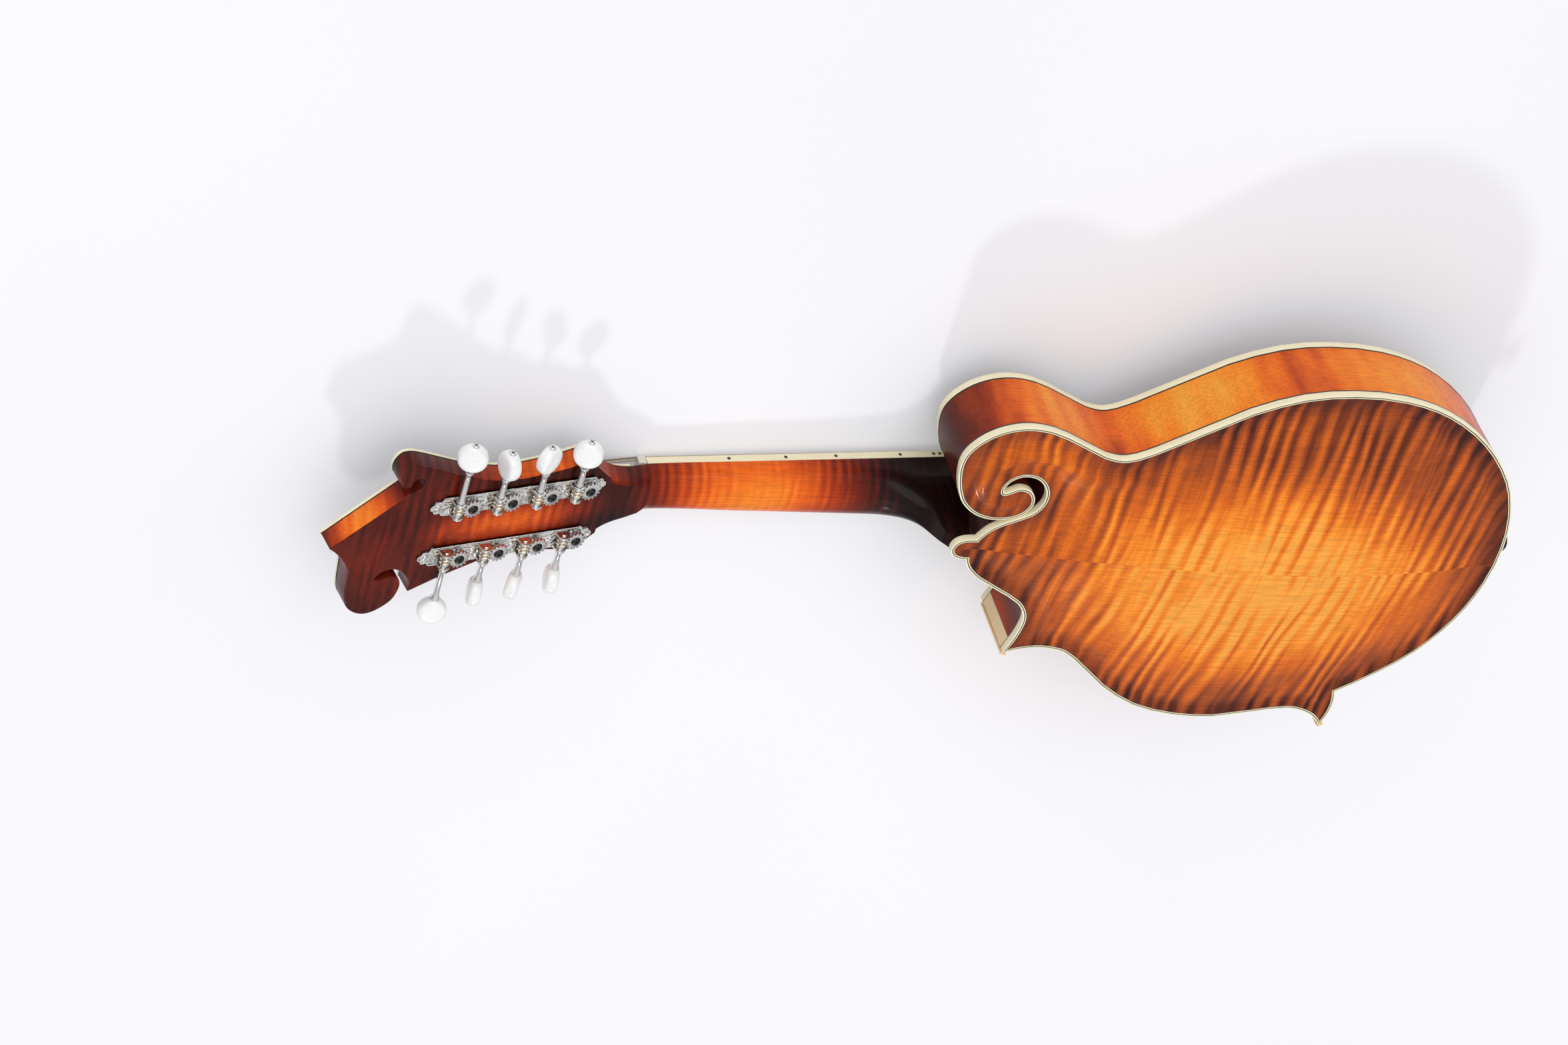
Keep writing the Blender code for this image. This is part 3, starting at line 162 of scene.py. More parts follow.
# Stage, light and camera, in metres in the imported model's frame
PACKED_ORIGIN = (-0.003535, 0.006597, 0.06311)   # where the body frame starts
FLOOR_REACH = 12.0
FLOOR_DROP = 0.0003
FLOOR_LIGHT = (0.76, 0.76, 0.78)
FLOOR_SHADE = (0.73, 0.73, 0.76)
FLOOR_LIFT = 0.22
WORLD = 0.80
KEY = 0.66
FILL = 1.1
LENS = 76.56
CAMERA_AT = (-0.8051, 1.1602, 1.2438)
CAMERA_RIGHT = (0.920632, 0.261177, 0.290462)
CAMERA_UP = (0.011401, 0.725386, -0.688305)
CAMERA_BACK = (-0.390459, 0.636987, 0.664732)

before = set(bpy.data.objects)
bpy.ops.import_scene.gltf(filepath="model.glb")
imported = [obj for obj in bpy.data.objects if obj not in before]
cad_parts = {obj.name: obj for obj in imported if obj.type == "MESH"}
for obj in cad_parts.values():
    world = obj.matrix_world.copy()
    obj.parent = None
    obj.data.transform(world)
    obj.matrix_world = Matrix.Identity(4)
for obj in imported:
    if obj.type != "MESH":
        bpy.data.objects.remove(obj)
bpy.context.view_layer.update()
DONE = bpy.data.collections.new("Mandolin")
bpy.context.scene.collection.children.link(DONE)


# Shapes, each left in the body frame until it is worn

def step_to(x, y=0.0, z=0.0):
    return Matrix.Translation((x, y, z))


def spin(angle, axis="Z"):
    return Matrix.Rotation(angle, 4, axis)


def in_metres(place):
    made = place.copy()
    made.translation = place.translation * MM
    return made


def new_object(name, data, place=None):
    obj = bpy.data.objects.new(name, data)
    DONE.objects.link(obj)
    obj.matrix_world = in_metres(place or Matrix.Identity(4))
    return obj


def settled(obj):
    """The same object as a plain mesh, with its modifiers applied."""
    bpy.context.view_layer.update()
    graph = bpy.context.evaluated_depsgraph_get()
    data = bpy.data.meshes.new_from_object(obj.evaluated_get(graph))
    name = obj.name
    place = obj.matrix_world.copy()
    bpy.data.objects.remove(obj, do_unlink=True)
    made = new_object(name, data)
    made.matrix_world = place
    return made


def faced_out(obj, merge=False):
    """The same piece with its faces turned outwards; merge also joins doubled points and flat faces."""
    bm = bmesh.new()
    bm.from_mesh(obj.data)
    if merge:
        bmesh.ops.remove_doubles(bm, verts=bm.verts[:], dist=0.001 * MM)
        bmesh.ops.dissolve_limit(bm, angle_limit=0.001, verts=bm.verts[:], edges=bm.edges[:])
    bmesh.ops.recalc_face_normals(bm, faces=bm.faces[:])
    bm.to_mesh(obj.data)
    bm.free()
    return obj


def flat(name, rings, low, high, place=None):
    """Flat outlines with a thickness; an outline inside another one is a hole."""
    data = bpy.data.curves.new(name, "CURVE")
    data.dimensions = "2D"
    data.fill_mode = "BOTH"
    data.extrude = (high - low) / 2 * MM
    for ring in rings:
        spline = data.splines.new("POLY")
        spline.points.add(len(ring) - 1)
        for point, p in zip(spline.points, ring):
            point.co = (p[0] * MM, p[1] * MM, 0.0, 1.0)
        spline.use_cyclic_u = True
    lift = step_to(0.0, 0.0, (low + high) / 2)
    return faced_out(settled(new_object(name, data, (place or Matrix.Identity(4)) @ lift)), True)


def turned(name, profile, sides, place=None):
    """A turned piece; its profile runs from the axis at the top down its outer side to the axis."""
    data = bpy.data.meshes.new(name)
    data.from_pydata([(r * MM, 0.0, h * MM) for r, h in profile],
                     [(i, i + 1) for i in range(len(profile) - 1)], [])
    obj = new_object(name, data, place)
    screw = obj.modifiers.new("turn", "SCREW")
    screw.angle = tau
    screw.steps = sides
    screw.render_steps = sides
    screw.use_merge_vertices = True
    screw.merge_threshold = 0.001 * MM
    return settled(obj)


def steps_from(base, *steps):
    """Part of a turned profile: each radius with its height over a base."""
    return [(r, base + h) for r, h in steps]


def built(name, verts, faces, place=None):
    """A piece whose faces follow from its own rule."""
    data = bpy.data.meshes.new(name)
    data.from_pydata([Vector(v) * MM for v in verts], [], faces)
    return faced_out(new_object(name, data, place))


def loft(name, sections, place=None):
    """A piece through sections that all have the same number of corners."""
    count = len(sections[0])
    verts = [v for section in sections for v in section]
    faces = [tuple(range(count)), tuple(range(len(verts) - count, len(verts)))]
    for first in range(0, len(verts) - count, count):
        for k in range(count):
            n = (k + 1) % count
            faces.append((first + k, first + n, first + count + n, first + count + k))
    return built(name, verts, faces, place)


def boolean(obj, other, how="DIFFERENCE"):
    step = obj.modifiers.new(how.lower(), "BOOLEAN")
    step.object = other
    step.operation = how
    step.solver = "EXACT"
    made = settled(obj)
    bpy.data.objects.remove(other, do_unlink=True)
    return made


def joined(name, objs):
    """Several pieces of one material as one."""
    bm = bmesh.new()
    for obj in objs:
        data = obj.data.copy()
        data.transform(obj.matrix_world)
        bm.from_mesh(data)
        bpy.data.meshes.remove(data)
        bpy.data.objects.remove(obj, do_unlink=True)
    data = bpy.data.meshes.new(name)
    bm.to_mesh(data)
    bm.free()
    return new_object(name, data)


def softened(obj, width, segments=2, angle=50.0):
    edge = obj.modifiers.new("edge", "BEVEL")
    edge.width = width * MM
    edge.segments = segments
    edge.limit_method = "ANGLE"
    edge.angle_limit = radians(angle)
    return settled(obj)


def wear(obj, look, instead=(), body="mandolin", smooth=35.0):
    """The piece gets its material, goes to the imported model's frame and rides on its body."""
    obj.data.transform(TO_PACKED @ obj.matrix_world)
    obj.matrix_world = Matrix.Identity(4)
    obj.data.materials.clear()
    obj.data.materials.append(LOOKS[look])
    obj.data.shade_smooth()
    obj.data.set_sharp_from_angle(angle=radians(smooth))
    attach(obj, body)
    if instead:
        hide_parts(*instead)


def circle(x, y, r, sides):
    """Corners of a regular outline; r reaches its corners."""
    return [(x + r * cos(tau * k / sides), y + r * sin(tau * k / sides)) for k in range(sides)]


def bow(x, y, wide, high, steps):
    """The upper half of an oval, from its right end to its left one."""
    return [(x + wide * cos(pi * k / steps), y + high * sin(pi * k / steps)) for k in range(steps + 1)]


# Outlines

def hermite(t, span, start, leave, end, arrive):
    """A point of the cubic from start to end with these directions there; span is their distance."""
    return ((2 * t ** 3 - 3 * t ** 2 + 1) * start + (t ** 3 - 2 * t ** 2 + t) * span * leave
            + (3 * t ** 2 - 2 * t ** 3) * end + (t ** 3 - t ** 2) * span * arrive)


def curve_through(knots):
    """Points on a smooth curve through the knots, closer together where it bends more."""
    pts = [Vector(k) for k in knots]
    count = len(pts)
    tangents = []
    for i in range(count):
        before = pts[max(i - 1, 0)]
        after = pts[min(i + 1, count - 1)]
        tangents.append((after - before).normalized())
    if count > 2:
        tangents[0] = (2 * (pts[1] - pts[0]).normalized() - tangents[1]).normalized()
        tangents[-1] = (2 * (pts[-1] - pts[-2]).normalized() - tangents[-2]).normalized()
    out = [pts[0]]
    for i in range(count - 1):
        span = (pts[i + 1] - pts[i]).length
        steps = max(1, ceil(degrees(tangents[i].angle(tangents[i + 1], 0.0)) / BEND))
        for k in range(1, steps + 1):
            out.append(hermite(k / steps, span, pts[i], tangents[i], pts[i + 1], tangents[i + 1]))
    return out


def chain(*runs):
    """Several runs, each starting where the last one ends, as one line."""
    out = []
    for run in runs:
        out += run if not out else run[1:]
    return out


def without_last(poly):
    return poly[:-1] if (poly[0] - poly[-1]).length < 1e-6 else poly


def offset(poly, out, closed=True):
    """The line moved out by a distance, on the right-hand side of its direction."""
    count = len(poly)
    moved = []
    for i, p in enumerate(poly):
        before = poly[i - 1] if closed or i else None
        after = poly[(i + 1) % count] if closed or i < count - 1 else None
        sides = []
        for a, b in ((before, p), (p, after)):
            if a is not None and b is not None:
                way = (b - a).normalized()
                sides.append(Vector((way.y, -way.x)))
        if len(sides) == 1:
            moved.append(p + sides[0] * out)
            continue
        mitre = (sides[0] + sides[1]).normalized()
        moved.append(p + mitre * out / max(mitre.dot(sides[0]), BLUNT))
    return moved


def band_between(line, out, far):
    """An open strip along a line, between two offsets from it."""
    return offset(line, out, False) + offset(line, far, False)[::-1]


def clip(poly, side_of):
    """The part of an outline where side_of is positive."""
    out = []
    for a, b in zip(poly, poly[1:] + poly[:1]):
        at_a, at_b = side_of(a), side_of(b)
        if at_a >= 0:
            out.append(a)
        if (at_a >= 0) != (at_b >= 0):
            out.append(a + (b - a) * at_a / (at_a - at_b))
    return out


def outline_array(line):
    return np.array([(p[0], p[1]) for p in line], float)


def inside(points, poly):
    """Which of the points lie in an outline."""
    hit = np.zeros(len(points), bool)
    for a, b in zip(poly, poly[1:] + poly[:1]):
        if a.y != b.y:
            over = (a.y > points[:, 1]) != (b.y > points[:, 1])
            at = (b.x - a.x) * (points[:, 1] - a.y) / (b.y - a.y) + a.x
            hit ^= over & (points[:, 0] < at)
    return hit


def edge_distance(points, poly, closed=True):
    """Distance of each point from the line."""
    best = np.full(len(points), 1e9)
    ends = poly[1:] + poly[:1] if closed else poly[1:]
    for a, b in zip(poly, ends):
        start = np.array(a)
        way = np.array(b) - start
        t = np.clip((points - start) @ way / max(way @ way, 1e-9), 0, 1)
        best = np.minimum(best, np.linalg.norm(points - start - t[:, None] * way, axis=1))
    return best


def ease(t):
    t = np.clip(t, 0.0, 1.0)
    return t * t * (3 - 2 * t)


CORNER_BASS = (12.0, 6.0)
CORNER_TREBLE = (10.7, -5.6)
TREBLE_SHOULDER = curve_through([CORNER_TREBLE, (13.6, -12.4), (21.7, -20.0), (36.8, -28.9), (52.2, -38.5),
                                 (60.0, -49.6), (60.6, -62.5), UPPER_TIP])
TREBLE_BOUT = curve_through([UPPER_TIP, (65.0, -74.4), (78.0, -73.0), (94.1, -76.7), (109.0, -88.0),
                             (128.0, -104.2), (153.0, -119.2), (181.1, -126.8), (208.0, -128.0),
                             (233.1, -123.3), (256.0, -119.7), (272.5, -124.4), LOWER_TIP])
LOWER_POINT = curve_through([LOWER_TIP, (283.4, -119.0), (279.9, -106.0)])
BODY_AND_SCROLL = curve_through([
    (279.9, -106.0), (301.0, -90.0), (320.5, -70.5), (335.4, -43.0), (342.0, -13.0), (341.0, 15.0),
    (335.0, 39.0), (321.0, 66.0), (295.0, 93.0), (264.0, 112.0), (232.0, 121.4), (200.0, 123.0),
    (171.2, 118.8), (143.1, 107.0), (117.2, 89.8), (97.8, 76.8), (81.0, 69.1), (66.0, 71.4), (48.5, 79.6),
    (31.0, 86.9), (13.0, 88.7), (-3.0, 82.6), (-13.2, 70.0), (-13.4, 56.0), (-6.6, 38.4), (2.2, 29.6),
    (11.5, 25.6), (21.0, 25.2), (29.6, 28.2), (34.0, 35.0), (31.4, 42.6), (25.0, 45.2), (19.6, 42.6),
    (16.4, 41.4), (13.8, 43.0), (13.4, 47.8), (16.6, 53.6), (24.0, 57.2), (34.0, 55.0), (41.6, 46.4),
    (43.0, 36.0), (38.2, 27.4), (28.3, 21.6), (18.6, 15.8), CORNER_BASS])
BUTTON_TIP = curve_through([CORNER_BASS, (6.0, 5.9), (1.6, 3.9), (0.0, 0.0), (1.6, -3.4), (5.4, -5.2),
                            CORNER_TREBLE])

# Both run anticlockwise seen from the back, so that a positive offset goes outwards.
FRONT_LINE = chain(TREBLE_SHOULDER, TREBLE_BOUT, LOWER_POINT, BODY_AND_SCROLL)
BACK_LINE = without_last(chain(FRONT_LINE, BUTTON_TIP))


# Where things stand along the instrument and over the body

def fret_x(number):
    """Distance of a fret from the nut."""
    return SCALE * (1 - 2 ** (-number / 12))


NUT_X = JOIN_X - fret_x(15)
BRIDGE_X = NUT_X + SCALE
BOARD_LEN = fret_x(FRETS) + BOARD_PAST


def board_z(x):
    """Height of the fingerboard's face."""
    return -(DEPTH + BOARD_RISE) - tan(NECK_ANGLE) * (x - NUT_X)


def under_board(x):
    return board_z(x) + (BOARD_T + GAP) / cos(NECK_ANGLE)


def board_half(x):
    return NUT_W / 2 + (JOIN_W - NUT_W) / 2 * (x - NUT_X) / (JOIN_X - NUT_X)


def arch(points, height):
    """Rise of a carved plate over its flat edge: a slow start near the edge, then a dome."""
    d = edge_distance(points, FRONT_LINE) - 6.0
    return height * (0.3 * ease(d / 40.0) + 0.7 * ease(d / 112.0))


def top_face(x, y):
    return -DEPTH - float(arch(np.array([(x, y)]), TOP_ARCH)[0])


# The strings' outer side, which is level on the ground, sets the tilt.
TILT = atan2(board_z(BRIDGE_X) - SADDLE_STEP - (board_z(NUT_X) - NUT_STEP), SCALE)
TO_PACKED = step_to(*PACKED_ORIGIN) @ spin(TILT, "Y")
HEAD = step_to(NUT_X, 0.0, board_z(NUT_X) + HEAD_BACK) @ spin(HEAD_ANGLE, "Y")
BOARD = step_to(NUT_X, 0.0, board_z(NUT_X)) @ spin(NECK_ANGLE, "Y")
# Post axes in the headstock's frame, which has x back towards the body and z out of its back
POSTS = [(CENTRES - FIRST_SHAFT - SHAFT_STEP * i, side * POST_Y) for side in (1, -1) for i in range(TUNERS)]


# Materials

def put(tree, kind, settings=None, **inputs):
    """A node with its settings; an input may be a value or a node's socket, and i3 is its fourth input."""
    made = tree.nodes.new("ShaderNode" + kind)
    for key, value in (settings or {}).items():
        setattr(made, key, value)
    for key, value in inputs.items():
        number = key[0] == "i" and key[1:].isdigit()
        socket = made.inputs[int(key[1:])] if number else made.inputs[key.replace("_", " ")]
        if isinstance(value, bpy.types.NodeSocket):
            tree.links.new(value, socket)
        else:
            socket.default_value = value
    return made


def ramp(tree, factor, stops):
    made = put(tree, "ValToRGB", Fac=factor)
    elements = made.color_ramp.elements
    while len(elements) < len(stops):
        elements.new(0.5)
    for element, (at, colour) in zip(elements, stops):
        element.position = at
        level = (colour,) * 3 if isinstance(colour, (int, float)) else colour
        element.color = (*level, 1.0)
    return made.outputs["Color"]


def times(tree, a, b):
    made = put(tree, "Mix", {"data_type": "RGBA", "blend_type": "MULTIPLY", "clamp_result": False},
               i0=1.0, i6=a, i7=b)
    return made.outputs[2]


def calc(tree, how, a, b=0.0, clamp=False):
    return put(tree, "Math", {"operation": how, "use_clamp": clamp}, i0=a, i1=b).outputs[0]


def about_zero(tree, value, reach):
    """A value from 0 to 1 as one that swings by half of reach to each side of zero."""
    return calc(tree, "MULTIPLY", calc(tree, "SUBTRACT", value, 0.5), reach)


def vector(tree, how, a, b, **more):
    return put(tree, "VectorMath", {"operation": how}, i0=a, i1=b, **more).outputs[0]


def stretched(tree, where, scale):
    return put(tree, "Mapping", Vector=where, Scale=scale).outputs[0]


def noise(tree, where, scale=1.0, detail=2.0, rough=0.5, warp=0.0):
    return put(tree, "TexNoise", Vector=where, Scale=scale, Detail=detail, Roughness=rough,
               Distortion=warp).outputs["Fac"]


def drifting(tree, where, reach, spot, scale, detail):
    """Coordinates that wander by up to reach, in metres, after the noise at spot."""
    drift = put(tree, "TexNoise", Vector=spot, Scale=scale, Detail=detail).outputs["Color"]
    return vector(tree, "MULTIPLY_ADD", drift, reach, i2=where)


def wood_grain(tree, where):
    return noise(tree, stretched(tree, where, (45.0, 900.0, 900.0)), 1.0, 3.0, 0.6)


def part_of(tree, where, axis):
    return put(tree, "SeparateXYZ", Vector=where).outputs[axis]


def painted(tree, name):
    """The mesh's own attribute of that name."""
    return put(tree, "Attribute", {"attribute_name": name}).outputs["Fac"]


def shaded(colour, share):
    return [c * share for c in colour]


def blank(name, rough, metal=0.0, coat=0.0, gloss=0.5):
    """A new material, its nodes, and where each point lies in the body frame, in metres."""
    made = bpy.data.materials.new(name)
    made.use_nodes = True
    tree = made.node_tree
    shader = tree.nodes["Principled BSDF"]
    for key, value in (("Roughness", rough), ("Metallic", metal), ("Coat Weight", coat),
                       ("Coat Roughness", 0.12), ("Specular IOR Level", gloss)):
        shader.inputs[key].default_value = value
    found = put(tree, "TexCoord").outputs["Object"]
    where = put(tree, "Mapping", {"vector_type": "TEXTURE"}, Vector=found, Location=PACKED_ORIGIN,
                Rotation=(0.0, TILT, 0.0)).outputs[0]
    return made, tree, where


def finished(made, tone, height=None, depth=0.0, strength=0.4):
    """The material with its colour and, where a height is given, its relief."""
    tree = made.node_tree
    shader = tree.nodes["Principled BSDF"]
    tree.links.new(tone, shader.inputs["Base Color"])
    if height:
        relief = put(tree, "Bump", Height=height, Strength=strength, Distance=depth)
        tree.links.new(relief.outputs[0], shader.inputs["Normal"])
    return made


def glow(tree, where, centre, reach):
    """1 in the middle of an oval and 0 at its edge, in the body frame's millimetres."""
    off = vector(tree, "SUBTRACT", where, shaded(centre, MM))
    part = vector(tree, "DIVIDE", off, shaded(reach, MM))
    far = put(tree, "VectorMath", {"operation": "LENGTH"}, i0=part).outputs["Value"]
    made = put(tree, "MapRange", {"interpolation_type": "SMOOTHSTEP"}, Value=far, From_Min=1.0, From_Max=0.0)
    return made.outputs[0]


# Stain from the bright middle to the dark edge, as colour at each shade from 0 to 1
BURST = ((0.0, (1.0, 0.41, 0.06)), (0.14, (1.0, 0.29, 0.022)), (0.34, (0.76, 0.15, 0.010)),
         (0.55, (0.42, 0.078, 0.012)), (0.76, (0.17, 0.030, 0.009)), (0.9, (0.065, 0.012, 0.006)),
         (1.0, (0.028, 0.006, 0.004)))
RIB_BURST = ((0.0, (1.0, 0.40, 0.045)), (0.2, (1.0, 0.27, 0.022)), (0.4, (0.85, 0.145, 0.016)),
             (0.6, (0.45, 0.055, 0.012)), (0.8, (0.14, 0.018, 0.008)), (1.0, (0.03, 0.006, 0.005)))
RED_BURST = ((0.0, (1.0, 0.26, 0.022)), (0.2, (0.90, 0.145, 0.010)), (0.42, (0.52, 0.055, 0.006)),
             (0.65, (0.20, 0.017, 0.005)), (0.85, (0.065, 0.007, 0.004)), (1.0, (0.012, 0.004, 0.003)))
TOP_BURST = ((0.0, (0.78, 0.36, 0.07)), (0.35, (0.62, 0.2, 0.03)), (0.62, (0.33, 0.07, 0.012)),
             (0.85, (0.10, 0.02, 0.006)), (1.0, (0.03, 0.008, 0.004)))

# Ovals of light stain: middle, reach along each axis, and strength
RIB_GLOWS = [((125.0, 95.0 * side, -22.0), (135.0, 80.0, 95.0), 1.0) for side in (1, -1)]
RIB_GLOWS += [((235.0, 112.0 * side, -22.0), (170.0, 90.0, 95.0), 0.85) for side in (1, -1)]
RIB_GLOWS += [((46.0, 84.0, -22.0), (88.0, 55.0, 95.0), 0.84),
              ((345.0, 0.0, -22.0), (80.0, 130.0, 95.0), 0.8)]
NECK_GLOWS = (((-110.0, 0.0, -40.0), (98.0, 60.0, 90.0), 1.0),
              ((-252.0, 0.0, -12.0), (92.0, 26.0, 60.0), 0.74),
              ((-290.0, 0.0, 0.0), (190.0, 120.0, 120.0), 0.24))
HEAD_SIDE_GLOWS = (((-236.0, 0.0, -18.0), (80.0, 90.0, 60.0), 1.1),
                   ((-338.0, 14.0, 8.0), (46.0, 30.0, 60.0), 1.05))


def brightest(tree, where, glows):
    """The most that any of the ovals gives at a point."""
    bright = 0.0
    for centre, reach, strength in glows:
        light = calc(tree, "MULTIPLY", glow(tree, where, centre, reach), strength)
        bright = calc(tree, "MAXIMUM", bright, light)
    return bright


def flames(tree, where, spacing, run, lean, warp):
    """The flames of maple, light above 0 and dark below it; run is how far one reaches, in mm."""
    bent = drifting(tree, where, (warp * MM, 0.0, 0.0), stretched(tree, where, (30.0, 7.0, 7.0)), 1.0, 1.5)
    spun = put(tree, "Mapping", Vector=bent, Rotation=(0.0, 0.0, lean)).outputs[0]
    waves = put(tree, "TexWave", Vector=spun, Scale=tau / 20 / (spacing * MM), Distortion=1.6, Detail=1.5,
                Detail_Scale=0.4).outputs["Fac"]
    long_way = [1000.0 / run] * 2
    broad = noise(tree, stretched(tree, spun, (550.0 / spacing, *long_way)), 1.0, 1.0)
    fine = noise(tree, stretched(tree, spun, (2400.0 / spacing, *long_way)), 1.0, 2.0, 0.6)
    wave = about_zero(tree, waves, ramp(tree, broad, ((0.36, 0.0), (0.62, 1.0))))
    return calc(tree, "ADD", wave, about_zero(tree, fine, 1.1))


def flamed(name, stops, spacing, run, lean=0.0, warp=8.0, depth=0.16, glows=(), sides=(), attribute=None):
    """Flamed maple under a shaded stain, which its flames take up more deeply."""
    made, tree, where = blank(name, 0.36, coat=0.16, gloss=0.08)
    spot = where
    if attribute:
        shade = painted(tree, attribute)
        # The plate's two halves meet on its middle line, each with its own figure.
        lower = calc(tree, "LESS_THAN", part_of(tree, where, "Y"), 0.0)
        step = put(tree, "CombineXYZ", X=calc(tree, "MULTIPLY", lower, 0.0045),
                   Z=calc(tree, "MULTIPLY", lower, 0.7)).outputs[0]
        spot = vector(tree, "ADD", where, step)
    else:
        bright = brightest(tree, where, glows)
        if sides:
            # The stain is lighter on faces that look to either side.
            facing = part_of(tree, put(tree, "TexCoord").outputs["Normal"], "Y")
            steep = ramp(tree, calc(tree, "ABSOLUTE", facing), ((0.45, 0.0), (0.75, 1.0)))
            light = calc(tree, "MULTIPLY", brightest(tree, where, sides), steep)
            bright = calc(tree, "MAXIMUM", bright, light)
        shade = calc(tree, "SUBTRACT", 1.0, bright)
    figure = flames(tree, spot, spacing, run, lean, warp)
    shade = calc(tree, "ADD", shade, about_zero(tree, noise(tree, where, 24.0), 0.34))
    shade = calc(tree, "SUBTRACT", shade, calc(tree, "MULTIPLY", figure, depth), True)
    pores = ramp(tree, wood_grain(tree, where), ((0.36, 0.82), (0.62, 1.06)))
    tone = times(tree, ramp(tree, shade, stops), pores)
    return finished(made, tone, noise(tree, where, 160.0), 0.00005, 0.5)


def cream(name, colour):
    made, tree, where = blank(name, 0.34, coat=0.3, gloss=0.25)
    grain = noise(tree, stretched(tree, where, (60.0, 60.0, 700.0)))
    return finished(made, ramp(tree, grain, ((0.3, shaded(colour, 0.9)), (0.7, colour))))


def metal(name, colour, rough):
    made, tree, where = blank(name, rough, metal=1.0)
    tone = ramp(tree, noise(tree, where, 90.0, 3.0), ((0.3, shaded(colour, 0.9)), (0.7, colour)))
    return finished(made, tone, noise(tree, where, 300.0), 0.00002)


def engraved(name, colour):
    """Plated metal with a cut pattern of leaves between beads."""
    made, tree, where = blank(name, 0.16, metal=1.0)
    spot = drifting(tree, where, (0.01, 0.01, 0.0), where, 120.0, 1.0)
    leaf = put(tree, "TexVoronoi", {"feature": "SMOOTH_F1"}, Vector=spot, Scale=360.0).outputs["Distance"]
    cut = put(tree, "TexWave", {"wave_type": "RINGS"}, Vector=spot, Scale=130.0, Distortion=3.0, Detail=1.0,
              Detail_Scale=2.0).outputs["Fac"]
    height = calc(tree, "ADD", calc(tree, "MULTIPLY", leaf, 1.2), cut)
    tone = ramp(tree, height, ((0.25, shaded(colour, 0.35)), (0.62, shaded(colour, 0.95)), (1.0, colour)))
    return finished(made, tone, height, 0.00035, 0.9)


def pearl(name):
    made, tree, where = blank(name, 0.22, coat=0.6)
    cells = put(tree, "TexVoronoi", {"feature": "SMOOTH_F1"}, Vector=where, Scale=260.0).outputs["Distance"]
    mixed = calc(tree, "ADD", calc(tree, "MULTIPLY", cells, 0.5), noise(tree, where, 180.0, 3.0, 0.6, 1.5))
    return finished(made, ramp(tree, mixed, ((0.3, (0.88, 0.87, 0.84)), (0.6, (0.95, 0.95, 0.93)),
                                             (0.85, (0.98, 0.98, 0.97)))))


def dark_wood(name, colour, rough=0.42, coat=0.1):
    made, tree, where = blank(name, rough, coat=coat, gloss=0.25)
    grain = wood_grain(tree, where)
    tone = ramp(tree, grain, ((0.3, shaded(colour, 0.5)), (0.7, shaded(colour, 1.6))))
    return finished(made, tone, grain, 0.00008)


def plain_wood(name, light, dark, scale, attribute=None):
    """Straight-grained wood with thin dark lines of late wood along x; with an attribute it is lacquered."""
    made, tree, where = blank(name, 0.34 if attribute else 0.6, coat=0.5 if attribute else 0.0, gloss=0.2)
    spot = drifting(tree, where, (0.0, 0.006, 0.0), where, 8.0, 1.0)
    lines = put(tree, "TexWave", {"bands_direction": "Y"}, Vector=spot, Scale=scale, Distortion=1.2,
                Detail=2.0, Detail_Scale=1.5).outputs["Fac"]
    if not attribute:
        return finished(made, ramp(tree, lines, ((0.0, light), (0.75, light), (1.0, dark))))
    fine = noise(tree, stretched(tree, where, (30.0, 500.0, 500.0)))
    late = ramp(tree, lines, ((0.6, 1.0), (1.0, 0.62)))
    tone = times(tree, ramp(tree, painted(tree, attribute), TOP_BURST), late)
    return finished(made, times(tree, tone, ramp(tree, fine, ((0.3, 0.88), (0.7, 1.08)))))


def wound(name, colour, step):
    """A string with a fine winding along it."""
    made, tree, where = blank(name, 0.3, metal=1.0)
    turns = put(tree, "TexWave", {"bands_direction": "X"}, Vector=where, Scale=step).outputs["Fac"]
    return finished(made, ramp(tree, turns, ((0.0, shaded(colour, 0.35)), (0.5, colour))), turns, 0.0001, 0.8)


